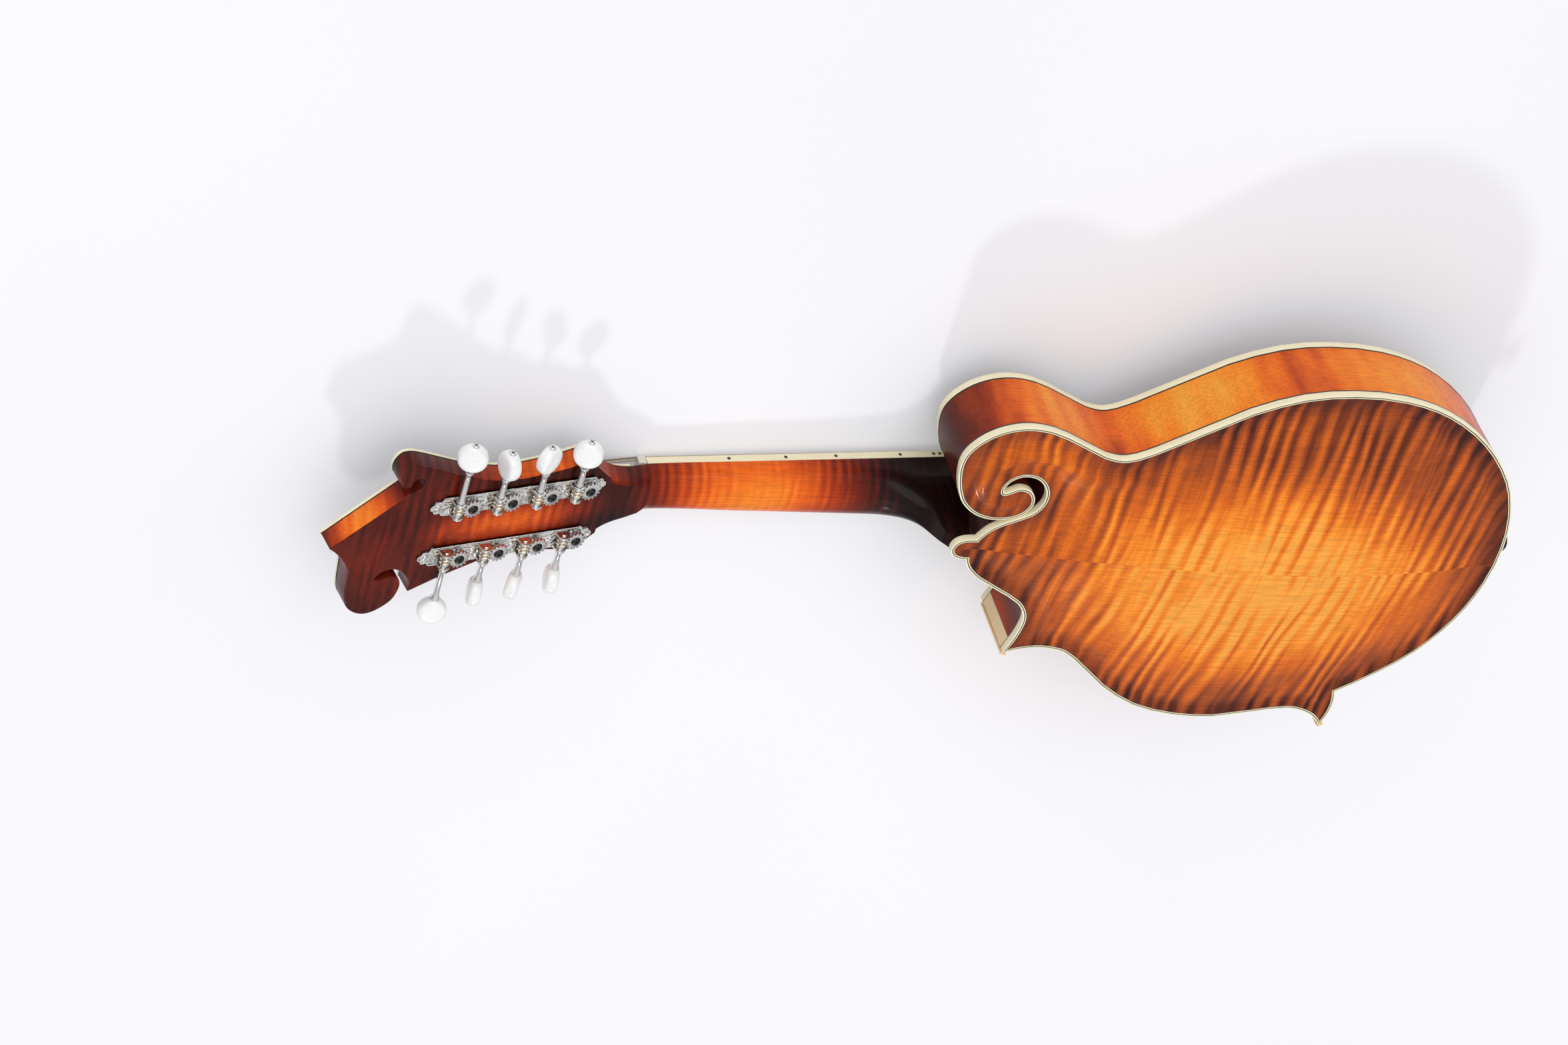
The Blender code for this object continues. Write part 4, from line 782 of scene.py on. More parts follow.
LOOKS = {
    "back": flamed("back_maple", BURST, 9.5, 60.0, 0.04, 16.0, 0.4, attribute="burst"),
    "ribs": flamed("rib_maple", RIB_BURST, 16.0, 30.0, glows=RIB_GLOWS),
    "neck": flamed("neck_maple", RED_BURST, 6.0, 26.0, glows=NECK_GLOWS, sides=HEAD_SIDE_GLOWS),
    "top": plain_wood("top_spruce", (0.75, 0.45, 0.15), (0.5, 0.25, 0.06), 420.0, "burst"),
    "bare": plain_wood("bare_wood", (0.66, 0.48, 0.28), (0.5, 0.33, 0.16), 300.0),
    "binding": cream("cream_binding", (1.0, 0.91, 0.62)),
    "strip": cream("point_strip", (0.97, 0.72, 0.40)),
    "black_line": dark_wood("black_line", (0.02, 0.018, 0.016), 0.3, 0.4),
    "ebony": dark_wood("ebony", (0.022, 0.018, 0.016)),
    "veneer": dark_wood("black_veneer", (0.012, 0.011, 0.010), 0.25, 0.6),
    "black": dark_wood("black_plastic", (0.015, 0.015, 0.015), 0.25, 0.5),
    "bone": cream("bone", (0.86, 0.80, 0.66)),
    "nickel": metal("nickel", (0.80, 0.79, 0.77), 0.12),
    "plate": engraved("engraved_plate", (0.80, 0.79, 0.77)),
    "gear": metal("gear_nickel", (0.74, 0.73, 0.70), 0.2),
    # Black gear screws, and the painted shade of the cross in each button's end screw
    "dark_screw_and_painted_shade": metal("dark_screw_and_painted_shade", (0.045, 0.042, 0.04), 0.22),
    "worm": metal("worm_brass", (0.78, 0.68, 0.52), 0.18),
    "fret": metal("fret_wire", (0.75, 0.74, 0.70), 0.22),
    "steel": metal("steel", (0.45, 0.45, 0.46), 0.4),
    "wound": wound("wound_bronze", (0.62, 0.50, 0.34), 900.0),
    "string": metal("plain_steel", (0.70, 0.70, 0.70), 0.2),
    "pearl": pearl("pearloid"),
}


# Body

def f_hole(side):
    """A stroke along an S, wider at its middle and at both of its blunt ends."""
    steps = 28
    left = []
    right = []
    for i in range(steps + 1):
        t = i / steps
        along = 2 * t - 1
        middle = Vector((F_LENGTH * (t - 0.5), 6.0 * along - 7.0 * sin(pi * along)))
        slope = (12.0 - 14.0 * pi * cos(pi * along)) / F_LENGTH
        half = 1.3 + 1.5 * sin(pi * t) + 2.2 * exp(-(min(t, 1 - t) / 0.09) ** 2)
        way = Vector((1.0, slope)).normalized()
        across = Vector((-way.y, way.x)) * half
        left.append(middle + across)
        right.append(middle - across)
    ring = [Matrix.Rotation(F_LEAN, 2) @ p for p in left + right[::-1]]
    return [Vector((BRIDGE_X + F_PAST + p.x, side * (F_AWAY + p.y))) for p in ring]


# Crest of the carved scroll
CREST = curve_through([(96.0, 58.0), (78.0, 55.0), (62.0, 58.0), (46.0, 66.5), (27.0, 70.0), (10.0, 65.0),
                       (2.4, 52.0), (7.0, 41.0), (14.0, 36.2), (22.0, 35.0)])


def carved(points, height, line):
    """Height of a carved plate: a hollow channel inside its edge, the dome, and the scroll's crest."""
    edge = edge_distance(points, line)
    channel = -0.9 * np.exp(-((edge - 7.0) / 3.6) ** 2) * ease((edge - 1.2) / 3.0)
    crest = edge_distance(points, CREST, False)
    fade = ease((110.0 - points[:, 0]) / 40.0)
    ridge = 2.6 * np.exp(-(crest / 4.6) ** 2) * fade * ease((edge - 2.0) / 6.0)
    return arch(points, height) + channel + ridge


def inner_points(line, holes, step):
    """Inner points of a carved plate, in rows that stay clear of its edge and holes."""
    rows = []
    for row, y in enumerate(np.arange(*GRID_Y, step * 0.87)):
        xs = np.arange(GRID_X[0] + (step / 2 if row % 2 else 0.0), GRID_X[1], step)
        rows.append(np.column_stack([xs, np.full(len(xs), y)]))
    points = np.vstack(rows)
    keep = inside(points, line) & (edge_distance(points, line) > 0.45 * step)
    for hole in holes:
        keep &= ~inside(points, hole) & (edge_distance(points, hole) > 0.45 * step)
    return points[keep]


def rows_inside(line, ways):
    """Extra lines of points inside an edge, where the carving bends most."""
    out = []
    for way in ways:
        moved = outline_array(offset(line, -way))
        keep = inside(moved, line) & (edge_distance(moved, line) > 0.93 * way)
        last = None
        for p in moved[keep]:
            if last is None or np.linalg.norm(p - last) > 0.8 * way:
                out.append(p)
                last = p
    return np.array(out)


def stain(points, is_back):
    """How deep the shaded finish is, from 0 in the bright middle to 1."""
    edge = edge_distance(points, FRONT_LINE)
    if not is_back:
        return np.clip(1.0 - ease(edge / 96.0), 0.0, 1.0)
    x, y = points[:, 0], points[:, 1]
    far = np.hypot((x - BRIGHT_AT[0]) / BRIGHT_REACH[0], (y - BRIGHT_AT[1]) / BRIGHT_REACH[1])
    shade = 0.05 + 0.56 * ease((far - 0.28) / 0.72)
    rim = 0.18 * (1.0 - ease(edge / 16.0))
    tail = 0.03 * ease((x - 250.0) / 90.0) * ease((far - 0.4) / 0.5)
    scroll = 0.21 * np.exp(-(np.hypot(x - SCROLL_AT[0], y - SCROLL_AT[1]) / 55.0) ** 2)
    return np.clip(shade + rim + tail - scroll, 0.0, 1.0)


def carved_plate(name, line, holes, step, sign, base, height):
    """A thin plate between two carved faces, with its shading from the edge as an attribute."""
    points = []
    edges = []
    for ring in [line] + holes:
        first = len(points)
        points += ring
        edges += [(first + i, first + (i + 1) % len(ring)) for i in range(len(ring))]
    points += [Vector(p) for p in rows_inside(line, (1.5, 3.5))]
    points += [Vector(p) for p in inner_points(line, holes, step)]
    points, _, found, _, _, _ = delaunay_2d_cdt(points, edges, [], 0, 0.00001)
    flat_points = outline_array(points)
    tris = np.array([tuple(t) for t in found])
    middle = flat_points[tris].mean(axis=1)
    keep = inside(middle, line)
    for hole in holes:
        keep &= ~inside(middle, hole)
    rise = carved(flat_points, height, line) if sign > 0 else arch(flat_points, height)
    face = base + sign * rise
    count = len(points)
    verts = [(p[0], p[1], z) for side in (face, face - sign * PLATE_T) for p, z in zip(flat_points, side)]
    tris = [tuple(int(i) for i in t) for t in tris[keep]]
    faces = tris + [(count + a, count + c, count + b) for a, b, c in tris]
    sides = {(a, b) for tri in tris for a, b in zip(tri, tri[1:] + tri[:1])}
    for a, b in sorted(sides):
        if (b, a) not in sides:
            faces.append((b, a, count + a, count + b))
    obj = built(name, verts, faces)
    shade = stain(flat_points, sign > 0).astype(np.float32)
    burst = obj.data.attributes.new("burst", "FLOAT", "POINT")
    burst.data.foreach_set("value", np.concatenate([shade, shade]))
    return obj


def point_strips():
    """The blunt end strip down each of the two body points, with the pale wood it is glued to."""
    strips = []
    for tip, back in ((UPPER_TIP, (60.6, -66.0)), (LOWER_TIP, (276.6, -122.0))):
        way = (Vector(tip) - Vector(back)).normalized()
        side = Vector((way.y, -way.x))
        foot = Vector(tip) + way * (RIB_OUT / BLUNT + GAP)
        strip = [foot + side * STRIP_FOOT, foot + side * STRIP_END + way * STRIP_T,
                 foot - side * STRIP_END + way * STRIP_T, foot - side * STRIP_FOOT]
        strips.append(flat("strip", [strip], RIB_LOW, -0.1))
        cap = clip(offset(FRONT_LINE, RIB_OUT + 0.1), lambda p: way.dot(p - Vector(tip)) + TIP_CAP)
        cap = clip(clip(cap, lambda p: p.x - tip[0] + TIP_SPAN), lambda p: tip[0] + TIP_SPAN - p.x)
        strips.append(flat("cap", [cap], RIB_LOW, RIB_HIGH))
    return joined("point_strips", strips)


def plate_line(line, out, far, is_back):
    """A fine line let into a plate beside its binding."""
    low, high = (-LINE_DEEP, LINE_OVER) if is_back else (-DEPTH - LINE_OVER, -DEPTH + LINE_DEEP)
    return flat("line", [offset(line, out), offset(line, far)], low, high)


def dress_body():
    back = carved_plate("back", offset(BACK_LINE, -GAP), [], BACK_STEP, 1, 0.0, BACK_ARCH - 3 * HAIR)
    wear(back, "back", ["back_plate"])
    holes = [f_hole(1), f_hole(-1)]
    top = carved_plate("top", offset(FRONT_LINE, -GAP), holes, TOP_STEP, -1, -DEPTH, TOP_ARCH)
    wear(top, "top", ["top_plate"])
    for name, line, foot in (("back", BACK_LINE, -PLATE_T), ("top", FRONT_LINE, -DEPTH)):
        edge = flat(name + "_edge", [offset(line, BINDING_T - HAIR), line], foot, foot + PLATE_T)
        wear(softened(edge, EDGE_ROUND, 2, 60.0), "binding", [name + "_binding"])
    wear(softened(point_strips(), 0.3, 1, 40.0), "strip")
    ribs = flat("ribs", [band_between(FRONT_LINE, RIB_OUT, -RIB_IN)], RIB_LOW, RIB_HIGH)
    bore = turned("bore", [(0.0, 30.0), (PIN_R + GAP, 30.0), (PIN_R + GAP, -4.0), (0.0, -4.0)], 24,
                  step_to(TAIL_X - 20.0, 0.0, -DEPTH / 2) @ spin(pi / 2, "Y"))
    wear(boolean(ribs, bore), "ribs", ["rim"])
    lines = [plate_line(BACK_LINE, *pair, True) for pair in BACK_BLACK]
    lines.append(plate_line(FRONT_LINE, *TOP_BLACK, False))
    # Two more along each edge of the rim: one fills the gap to the binding, one stands a little proud.
    filler = BINDING_T - 0.02
    proud = RIB_OUT + 0.08
    for out, low, high in ((filler, RIB_HIGH, -PLATE_T), (proud, RIB_HIGH - LINE_DEEP, RIB_HIGH),
                           (proud, RIB_LOW, RIB_LOW + LINE_DEEP), (filler, RIB_LOW - GAP, RIB_LOW)):
        lines.append(flat("line", [band_between(FRONT_LINE, out, 0.2)], low, high))
    wear(joined("black_lines", lines), "black_line")
    lines = [plate_line(BACK_LINE, *BACK_CREAM, True), plate_line(FRONT_LINE, *TOP_CREAM, False)]
    wear(joined("cream_lines", lines), "binding")


# Neck and headstock

# Distances from the nut first; the treble side, the tip, then the bass side.
HEAD_KNOTS = without_last(chain(
    curve_through([(-3.0, -14.2), (9.0, -14.4), (20.0, -16.8), (29.5, -23.0), (36.6, -30.5)]),
    curve_through([(36.6, -30.5), (54.0, -27.4), (76.0, -25.4), (96.0, -28.4), (132.5, -43.0)]),
    curve_through([(132.5, -43.0), (134.2, -34.0), (140.6, -26.0), (148.6, -24.6), (154.4, -29.6)]),
    curve_through([(154.4, -29.6), (150.6, -31.0), (144.8, -29.6), (139.8, -31.8), (138.0, -39.4),
                   (142.0, -49.0), (154.8, -54.9), (166.0, -48.2), (169.6, -36.0), (170.6, -22.0),
                   (176.0, -11.0), (184.5, -2.1)]),
    curve_through([(184.5, -2.1), (145.6, 29.6)]),
    curve_through([(145.6, 29.6), (140.6, 32.0), (138.6, 36.6), (141.6, 39.4), (145.0, 38.0), (146.2, 34.4),
                   (151.0, 35.0), (152.4, 42.4), (147.6, 48.4), (135.6, 45.4), (115.0, 36.4), (92.0, 29.6),
                   (66.0, 30.4), (41.0, 35.4)]),
    curve_through([(41.0, 35.4), (33.6, 26.6), (23.0, 18.0), (9.0, 14.4), (-3.0, 14.2)])))
HEAD_LINE = [Vector((-p.x, p.y)) for p in reversed(HEAD_KNOTS)]
# The neck's rounded end on the headstock's back: one half, from the side to the middle
TONGUE = [(31.0, 22.0), (24.0, 16.0), (17.0, 13.2), (9.0, 11.6), (2.0, 8.6), (-2.4, 3.6), (-3.4, 0.0)]

# Shares of the neck's depth at which a section has its corners, closer together toward the back
LEVELS = [sin(pi / 2 * k / 14) for k in range(15)]
# Sections under the headstock: distance from the nut, half width, and how square the sides are
HEAD_RUN = ((34.0, 26.5, 0.95), (26.0, 19.8, 0.8), (18.0, 16.2, 0.76), (9.0, 14.4, 0.72), (3.0, 14.2, 0.6))
# Sections under the fingerboard: x, depth, and how far the round back has turned into the heel
NECK_RUN = ((NUT_X + 3.0, NECK_T, 0.0), (NUT_X + 60.0, NECK_T + 1.0, 0.0), (-60.0, NECK_T + 2.2, 0.0),
            (-34.0, 16.4, 0.1), (-22.0, 21.0, 0.35), (-13.0, 28.5, 0.7), (-6.5, 38.0, 0.95))
# Sections in the body's pocket: x, and how much lower than the back they end
HEEL_RUN = ((-1.5, 2.5), (3.0, 0.0), (27.0, 0.0))


def cut_across(x, top, depth, width_at):
    """One section of the neck; width_at gives the half width at each share of the depth."""
    side = [(width_at(s), top + depth * s) for s in LEVELS]
    return [(x, y, z) for y, z in side] + [(x, -y, z) for y, z in reversed(side)]


def round_width(s):
    return max(sqrt(max(0.0, 1 - s ** 2.2)), 0.12)


def neck_sections():
    sections = []
    for far, half, square in HEAD_RUN:
        x = NUT_X - far * cos(HEAD_ANGLE)
        face = board_z(NUT_X) + HEAD_BACK + tan(HEAD_ANGLE) * (NUT_X - x)
        back = face - HAIR
        front = face - HEAD_T / cos(HEAD_ANGLE) + HAIR
        sections.append(cut_across(x, front, back - front,
                                   lambda s: half * (square + (1 - square) * round_width(s))))
    for x, depth, heel in NECK_RUN:
        half = board_half(x)
        sections.append(cut_across(x, under_board(x), depth, lambda s: (1 - heel) * half * round_width(s)
                                   + heel * (half + (HEEL_HALF - half) * s ** 0.75)))
    for x, short in HEEL_RUN:
        half = board_half(x)
        tip = HEEL_HALF - short / 2
        sections.append(cut_across(x, under_board(x), -PLATE_T - 2 * GAP - short - under_board(x),
                                   lambda s: half + (tip - half) * s ** 0.75))
    riser_end = NUT_X + BOARD_LEN - 3.0
    for share in (0.0, 0.25, 0.65, 1.0):
        x = RISER_X + (riser_end - RISER_X) * share
        rise = top_face(x, 0.0) - 2 * GAP - under_board(x)
        sections.append(cut_across(x, under_board(x), rise, lambda s: board_half(x)))
    return sections


def eased_between(sections, most):
    """Sections added so that none stand further apart than that, on curves that never overshoot."""
    pts = np.array(sections, float)
    xs = pts[:, 0, 0]
    gaps = np.diff(xs)[:, None, None]
    slopes = np.diff(pts, axis=0) / gaps
    tangents = np.zeros_like(pts)
    tangents[0], tangents[-1] = slopes[0], slopes[-1]
    same = slopes[:-1] * slopes[1:] > 0
    w1 = 2 * gaps[1:] + gaps[:-1]
    w2 = gaps[1:] + 2 * gaps[:-1]
    with np.errstate(divide="ignore", invalid="ignore"):
        mean = (w1 + w2) / (w1 / slopes[:-1] + w2 / slopes[1:])
    tangents[1:-1] = np.where(same, mean, 0.0)
    out = [pts[0]]
    for i, gap in enumerate(np.diff(xs)):
        steps = max(1, ceil(gap / most))
        for k in range(1, steps + 1):
            out.append(hermite(k / steps, gap, pts[i], tangents[i], pts[i + 1], tangents[i + 1]))
    return [[tuple(p) for p in section] for section in out]


def dress_neck():
    sections = neck_sections()
    riser = next(i for i, s in enumerate(sections) if s[0][0] >= RISER_X)
    neck = loft("neck_wood", eased_between(sections[:riser], SECTION_STEP) + sections[riser:])
    channel_end = ROD_END - NUT_X
    wide = ROD_W / 2 + GAP
    channel = [(3.0, -wide), (channel_end, -wide), (channel_end, wide), (3.0, wide)]
    neck = boolean(neck, flat("channel", [channel], BOARD_T - 1.0, BOARD_T + 3 * GAP + ROD_H, BOARD))
    slab = flat("slab", [clip(HEAD_LINE, lambda p: -SLAB_START - p.x)], -HEAD_T, 0.0, HEAD)
    neck = boolean(neck, softened(slab, 0.7, 3), "UNION")
    rim = [Vector((-p.x, p.y)) for p in curve_through(TONGUE)]
    tongue = flat("tongue", [rim + [Vector((p.x, -p.y)) for p in reversed(rim[:-1])]], -4.5, -0.02, HEAD)
    neck = boolean(neck, softened(tongue, 0.6, 3), "UNION")
    bores = [circle(x, y, POST_R + 0.7, 16) for x, y in POSTS]
    neck = boolean(neck, flat("bores", bores, -HEAD_T - 4.0, 4.0, HEAD))
    pocket = clip(offset(FRONT_LINE, BINDING_T + GAP), lambda p: POCKET_END - p.x)
    neck = boolean(neck, flat("pocket", [pocket], top_face(RISER_X, 0.0) - 2 * GAP, 8.0))
    wear(neck, "neck", ["neck"], smooth=30.0)


def dress_board():
    dots = []
    profile = [(0.0, DOT_OUT), (DOT_R, DOT_OUT), (DOT_R, 0.0), (0.0, 0.0)]
    side = BOARD @ step_to(0.0, 0.0, BOARD_T / 2)
    for number in DOT_FRETS:
        middle = (fret_x(number - 1) + fret_x(number)) / 2
        for x in (middle - DOT_PAIR, middle + DOT_PAIR) if number == DOUBLE_DOT else (middle,):
            place = side @ step_to(x, board_half(NUT_X + x) - 0.2) @ spin(-pi / 2, "X")
            dots.append(turned("dot", profile, 16, place))
    wear(joined("side_dots", dots), "black")
    wires = []
    for n in range(1, FRETS + 1):
        x = fret_x(n)
        half = board_half(NUT_X + x) - BOARD_BINDING - GAP - 0.15
        crown = bow(x, 0.2, 0.495 * FRET_W, 0.84 * FRET_H, 8)
        wires.append(flat("wire", [crown], -half, half, BOARD @ spin(-pi / 2, "X")))
    wear(joined("fret_wires", wires), "fret")


# Headstock trim and tuners

def dress_headstock_trim():
    low, high, start = OVERLAY_LOW, OVERLAY_HIGH, -OVERLAY_START
    outline = clip(HEAD_LINE, lambda p: start - p.x)
    core = clip(offset(outline, -HEAD_BINDING - HAIR), lambda p: start - p.x)
    overlay = flat("overlay", [core], low, high, HEAD)
    bores = [circle(x, y, POST_R + 0.9, 16) for x, y in POSTS]
    wear(boolean(overlay, flat("bores", bores, low - 1.0, high + 1.0, HEAD)), "veneer", ["headstock_overlay"])
    bore, sleeve, end = POST_R + FIT, POST_R + 0.85, low - BUSH_OUT
    profile = [(bore, high - 0.2), (sleeve, high - 0.2), (sleeve, low - 0.02), (BUSH_R, low - 0.02),
               (BUSH_R, low - 0.5), (BUSH_R - 0.6, end + 0.4), (BUSH_R - 1.1, end), (bore, end),
               (bore, high - 0.2)]
    bushings = [turned("bushing", profile, 24, HEAD @ step_to(x, y)) for x, y in POSTS]
    wear(joined("post_bushings", bushings), "nickel")
    # The binding's line is open at the nut: it starts and ends on the overlay's straight edge.
    first = max(range(len(outline)), key=lambda i: (round(outline[i].x, 3), -outline[i].y))
    line = outline[first:] + outline[:first]
    if abs(line[1].x - line[0].x) < 0.001:
        line = line[1:] + line[:1]
    for name, out, far, look, bottom, top, instead in (
            ("headstock_edge", 0.0, -HEAD_BINDING, "binding", low, high, ["headstock_binding"]),
            ("headstock_line", 0.04, -0.3, "black_line", high - 0.02, high + GAP - 0.02, [])):
        outer = offset(line, out, False)
        inner = offset(line, far, False)
        for run in (outer, inner):
            run[0].x = start
            run[-1].x = start
        wear(flat(name, [outer + inner[::-1]], bottom, top, HEAD), look, instead)


def shaft_place(index):
    """From a worm's own frame, z along the shaft to its button, to the body frame."""
    side = 1 if index < TUNERS else -1
    along = -FIRST_SHAFT - SHAFT_STEP * (index % TUNERS)
    return HEAD @ step_to(along, side * POST_Y, WORM_H) @ spin(-side * pi / 2, "X")


def seat_of(index):
    return TIP_SEAT_Y if index % TUNERS == TUNERS - 1 else SEAT_Y


def worm(name, place):
    """A one-start thread with round crests, closed at both ends inside its shaft."""
    flank = [(WORM_FOOT, 0.62), (WORM_ROOT + 0.1, 0.55), (WORM_R - 0.25, 0.3), (WORM_R, 0.08)]
    shape = [(r, -z) for r, z in flank] + flank[::-1]
    start = -PITCH * WORM_TURNS / 2
    count = int(WORM_TURNS * ROUND_SIDES) + 1
    sections = []
    for k in range(count):
        angle = tau * k / ROUND_SIDES
        fade = min(1.0, k / 5, (count - 1 - k) / 5)
        ring = []
        for r, z in shape:
            reach = WORM_FOOT + (r - WORM_FOOT) * fade
            ring.append((reach * cos(angle), reach * sin(angle), start + PITCH * k / ROUND_SIDES + z))
        sections.append(ring)
    return loft(name, sections, place @ spin(tau * start / PITCH))


def dress_shaft(number, place, seat):
    body = f"tuner_shaft_{number}"
    top = seat + BUTTON_L
    lug_out = LUG_IN + LUG_T
    profile = steps_from(top, (0.0, 0.55), (1.1, 0.5), (1.6, 0.35), (1.85, 0.05), (1.85, -0.25),
                         (TANG_R, -0.25))
    profile += steps_from(seat, (TANG_R, -GAP), (2.55, -GAP), (2.7, -0.6), (2.7, -1.3), (2.3, -1.8),
                          (2.3, -2.1), (1.8, -2.9), (1.75, -6.0))
    profile += steps_from(lug_out, (1.75, 2.6), (2.1, 1.9), (2.3, 1.6), (2.3, 0.5), (2.1, 0.3),
                          (SHAFT_R, 0.3))
    profile += steps_from(LUG_IN, (SHAFT_R, -0.15), (WORM_ROOT, -0.15))
    profile += steps_from(-LUG_IN, (WORM_ROOT, 0.15), (SHAFT_R, 0.15))
    profile += steps_from(-lug_out, (SHAFT_R, -0.5), (1.2, -0.8), (0.0, -0.8))
    wear(worm(f"worm_{number}", place), "worm", [], body, 40.0)
    shaft = turned(f"shaft_{number}", profile, ROUND_SIDES, place)
    wear(shaft, "nickel", [f"worm_shaft_{number}"], body, 40.0)
    # The end screw's cross is painted shade: flat dark bars on its head stand for the shade in a recess that
    # is not cut.
    end = place @ step_to(0.0, 0.0, top + 0.5)
    bar = [(-1.0, -0.22), (1.0, -0.22), (1.0, 0.22), (-1.0, 0.22)]
    cross = [flat("cross", [bar], -0.1, 0.1, end @ spin(a)) for a in (0.4, 0.4 + pi / 2)]
    wear(joined(f"button_screw_shade_cross_{number}", cross), "dark_screw_and_painted_shade", [], body)


def dress_button(number, place):
    """A pearl oval, thickest round its shaft, thinner towards its edge."""
    around_it, over = 44, 14
    sections = []
    for j in range(over + 1):
        b = radians(86.0) * (2 * j / over - 1)
        thick = BUTTON_T / 2 * copysign(abs(sin(b)) ** 0.8, sin(b))
        wide = cos(b) ** 0.33
        sections.append([(BUTTON_W / 2 * wide * sin(a), thick, BUTTON_L / 2 * (1 - wide * cos(a)))
                         for a in (tau * k / around_it for k in range(around_it))])
    tang = [(0.0, BUTTON_L + 2.0), (2.0, BUTTON_L + 2.0), (2.0, BUTTON_L - 0.4),
            (TANG_R + GAP, BUTTON_L - 0.4), (TANG_R + GAP, -2.0), (0.0, -2.0)]
    oval = boolean(loft(f"pearl_{number}", sections, place), turned("tang", tang, 24, place))
    wear(oval, "pearl", [f"button_{number}"], f"tuner_shaft_{number}", 42.0)


def dress_post(number, place):
    body = f"tuner_post_{number}"
    gear_top = WORM_H + GEAR_T / 2
    gear_low = WORM_H - GEAR_T / 2
    profile = steps_from(gear_low, (0.0, 0.2), (POST_R, 0.2))
    profile += steps_from(OVERLAY_LOW - BUSH_OUT, (POST_R, -0.2), (POST_SLIM + 0.15, -0.4), (POST_SLIM, -1.4))
    profile += steps_from(OVERLAY_LOW - POST_OUT, (POST_SLIM, 1.9), (POST_R, 1.4), (POST_R, 0.6), (2.0, 0.1),
                          (0.0, 0.0))
    wear(turned(f"post_{number}", profile, ROUND_SIDES, place), "nickel", [f"string_post_{number}"], body)
    teeth = []
    for k in range(TEETH):
        for share, r in ((0.0, GEAR_ROOT), (0.1, GEAR_ROOT + 0.1), (0.26, GEAR_TIP - 0.35), (0.36, GEAR_TIP),
                         (0.64, GEAR_TIP), (0.74, GEAR_TIP - 0.35), (0.9, GEAR_ROOT + 0.1)):
            angle = pi + (k + share) * tau / TEETH
            teeth.append((r * cos(angle), r * sin(angle)))
    gear = flat(f"gear_{number}", [teeth, circle(0.0, 0.0, 1.2, 20)], gear_low, gear_top, place)
    wear(softened(gear, 0.22), "gear", [], body)
    profile = steps_from(gear_top, (0.0, 0.7), (0.35, 0.7), (0.5, 1.25), (1.6, 1.15), (2.5, 0.65),
                         (2.85, 0.02), (1.1, 0.02))
    profile += [(1.1, gear_low), (0.0, gear_low)]
    wear(turned(f"gear_screw_{number}", profile, ROUND_SIDES, place), "dark_screw_and_painted_shade", [], body)


def small_screw(place, r, turn):
    """A round-headed screw with a slot cut across it."""
    head = turned("head", [(0.0, 0.85), (0.5 * r, 0.78), (0.85 * r, 0.5), (r, 0.0), (0.0, 0.0)], 20, place)
    slot = [(-2 * r, -0.16), (2 * r, -0.16), (2 * r, 0.16), (-2 * r, 0.16)]
    return boolean(head, flat("slot", [slot], 0.45, 1.5, place @ spin(turn)))


def plate_outline(side, left, right):
    """A tuner plate, with an ogee of two waves at each end as far as the waist before its first bearing."""
    end = curve_through([(0.0, 0.0), (0.1, 0.9), (0.7, 1.7), (1.5, 2.0), (1.9, 2.3), (2.0, 3.0), (2.6, 3.9),
                         (3.7, 4.3), (4.6, 4.1), (5.4, 3.9), (6.0, 4.3), (6.6, 5.4), (7.4, 6.0),
                         (8.2, PLATE_W / 2)])
    top = [(right - p.x, p.y) for p in end] + [(left + p.x, p.y) for p in reversed(end)]
    return [Vector((x, side * POST_Y + y)) for x, y in top + [(x, -y) for x, y in reversed(top[1:-1])]]


def bead_row(line, height):
    """Small beads at even steps along a closed line."""
    beads = []
    reach = 0.0
    for a, b in zip(line, line[1:] + line[:1]):
        span = (b - a).length
        while reach < span:
            p = a + (b - a) * reach / span
            beads.append(turned("bead", [(0.0, 0.36), (0.26, 0.25), (0.36, 0.0), (0.0, -0.02)], 6,
                                HEAD @ step_to(p.x, p.y, height)))
            reach += BEAD_STEP
        reach -= span
    return beads


def lug(x, near, foot):
    """A round-topped bearing for a worm shaft, on two small feet."""
    ring = [(x + LUG_HALF + 0.8, foot), (x + LUG_HALF + 0.2, foot + 1.2)]
    ring += bow(x, WORM_H, LUG_HALF, LUG_HALF, 16)
    ring += [(x - LUG_HALF - 0.2, foot + 1.2), (x - LUG_HALF - 0.8, foot)]
    hole = circle(x, WORM_H, SHAFT_R + FIT + 0.05, 20)
    return softened(flat("lug", [ring, hole], near, near + LUG_T, HEAD @ spin(pi / 2, "X")), 0.25)


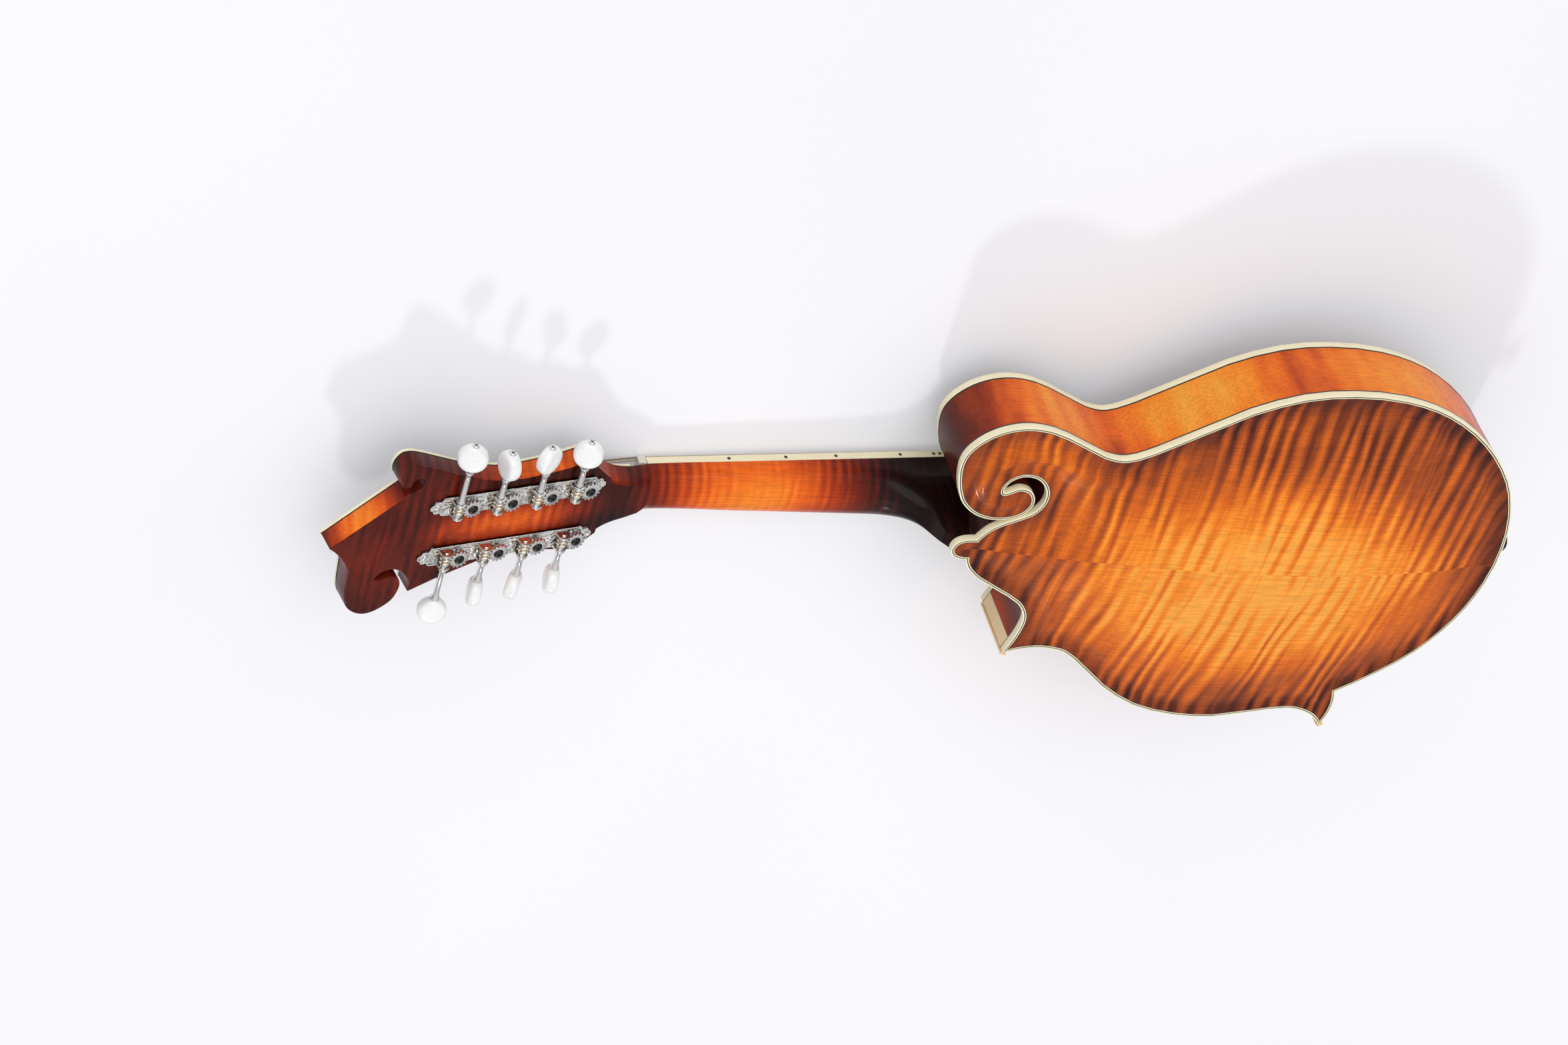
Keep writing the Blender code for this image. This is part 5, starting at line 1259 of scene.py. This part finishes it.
def dress_tuner_plates():
    face = GAP + TUNER_PLATE_T
    screws = []
    for name, side in (("tuner_plate_bass", 1), ("tuner_plate_treble", -1)):
        posts = [p for p in POSTS if p[1] * side > 0]
        shafts = [p[0] - CENTRES for p in posts]
        right = posts[0][0] + PLATE_NUT_END
        left = shafts[-1] - PLATE_TIP_END
        outline = plate_outline(side, left, right)
        holes = [circle(x, y, POST_R + 0.35, 20) for x, y in posts]
        sheet = flat("sheet", [outline] + holes, GAP, face - SHEET_SUNK, HEAD)
        rim = flat("rim", [outline, offset(outline, -0.75)], GAP, face, HEAD)
        wear(joined(name + "_metal", [sheet, rim]), "plate", [name], smooth=30.0)
        wear(joined(name + "_beads", bead_row(offset(outline, -0.4), face)), "nickel", smooth=60.0)
        lugs = [lug(x, -side * POST_Y - inner - LUG_T, GAP + TUNER_PLATE_T / 2)
                for inner in (LUG_IN, -LUG_IN - LUG_T) for x in shafts]
        wear(joined(name + "_lugs", lugs), "nickel")
        spots = [right - 4.6, left + 4.6] + [(a + b[0]) / 2 + 2.0 for a, b in zip(shafts, posts[1:])]
        for number, x in enumerate(spots):
            place = HEAD @ step_to(x, side * POST_Y, face - SHEET_SUNK)
            screws.append(small_screw(place, PLATE_SCREW_R, 0.5 + number))
    wear(joined("plate_screws", screws), "nickel")


def dress_tuners():
    for index, (x, y) in enumerate(POSTS):
        place, seat = shaft_place(index), seat_of(index)
        dress_shaft(index + 1, place, seat)
        dress_button(index + 1, place @ step_to(0.0, 0.0, seat) @ spin(radians(BUTTON_TURNS[index])))
        dress_post(index + 1, HEAD @ step_to(x, y))
    dress_tuner_plates()


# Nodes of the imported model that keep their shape

KEPT = {
    "ebony": ["fingerboard", "bridge_base", "bridge_saddle", "end_pin"],
    "binding": ["fingerboard_binding"],
    "bare": ["head_block", "tail_block", "upper_point_block", "lower_point_block", "lining_back_body",
             "lining_back_waist", "lining_top_body", "lining_top_waist", "tone_bar_bass", "tone_bar_treble"],
    "bone": ["nut"],
    "steel": ["truss_rod"],
    "black": ["truss_rod_cover"],
    "nickel": ["thumbwheel_bass", "thumbwheel_treble", "tailpiece_base", "tailpiece_cover"],
    "wound": ["strings_g", "strings_d"],
    "string": ["strings_a", "strings_e"],
}


def dress_kept():
    for look, names in KEPT.items():
        for name in names:
            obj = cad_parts[name]
            obj.data.materials.clear()
            obj.data.materials.append(LOOKS[look])


# Stage, light and camera

def add_to_scene(name, data):
    obj = bpy.data.objects.new(name, data)
    bpy.context.scene.collection.objects.link(obj)
    return obj


def background_rays(tree):
    """1 for the rays that look at the background, straight, through glass or off a shine."""
    path = put(tree, "LightPath")
    straight = calc(tree, "MAXIMUM", path.outputs["Is Camera Ray"], path.outputs["Is Transmission Ray"])
    return calc(tree, "MAXIMUM", straight, path.outputs["Is Glossy Ray"])


def lay_stage():
    floor = bpy.data.meshes.new("floor")
    corners = [(x * FLOOR_REACH, y * FLOOR_REACH, 0.0) for x, y in ((-1, -1), (1, -1), (1, 1), (-1, 1))]
    floor.from_pydata(corners, [], [(0, 1, 2, 3)])
    obj = add_to_scene("floor", floor)
    obj.location.z = -FLOOR_DROP
    made, tree, where = blank("floor_cloth", 0.9)
    finished(made, ramp(tree, noise(tree, where, 1.6), ((0.3, FLOOR_SHADE), (0.7, FLOOR_LIGHT))))
    shader = tree.nodes["Principled BSDF"]
    shader.inputs["Emission Color"].default_value = (0.98, 0.98, 1.0, 1.0)
    lift = calc(tree, "MULTIPLY", background_rays(tree), FLOOR_LIFT)
    tree.links.new(lift, shader.inputs["Emission Strength"])
    floor.materials.append(made)


def sun(name, way, power, spread):
    data = bpy.data.lights.new(name, "SUN")
    data.energy = power
    data.angle = radians(spread)
    obj = add_to_scene(name, data)
    obj.rotation_mode = "QUATERNION"
    obj.rotation_quaternion = Vector(way).normalized().to_track_quat("-Z", "Y")


def light_up():
    """A pale room, brightest overhead, a key light from the treble side and a broad fill from the bass."""
    world = bpy.data.worlds.new("studio")
    bpy.context.scene.world = world
    world.use_nodes = True
    tree = world.node_tree
    height = part_of(tree, put(tree, "TexCoord").outputs["Generated"], "Z")
    room = ramp(tree, height, ((0.0, (0.42, 0.42, 0.45)), (0.3, (0.52, 0.52, 0.55)), (0.7, (0.9, 0.9, 0.92)),
                               (1.0, 1.0)))
    ground = tree.nodes["Background"]
    tree.links.new(room, ground.inputs["Color"])
    ground.inputs["Strength"].default_value = WORLD
    sun("key", (0.0, 1.0, -0.68), KEY, 5.0)
    sun("fill", (0.25, -1.0, -0.75), FILL, 60.0)


def place_camera():
    data = bpy.data.cameras.new("camera")
    data.sensor_fit = "HORIZONTAL"
    data.sensor_width = 36.0
    data.lens = LENS
    data.clip_start = 0.05
    data.clip_end = 60.0
    obj = add_to_scene("camera", data)
    place = Matrix((CAMERA_RIGHT, CAMERA_UP, CAMERA_BACK)).transposed().to_4x4()
    place.translation = CAMERA_AT
    obj.matrix_world = place
    bpy.context.scene.camera = obj


dress_body()
dress_neck()
dress_board()
dress_headstock_trim()
dress_tuners()
dress_kept()
lay_stage()
light_up()
place_camera()
bpy.context.scene.view_settings.view_transform = "Standard"
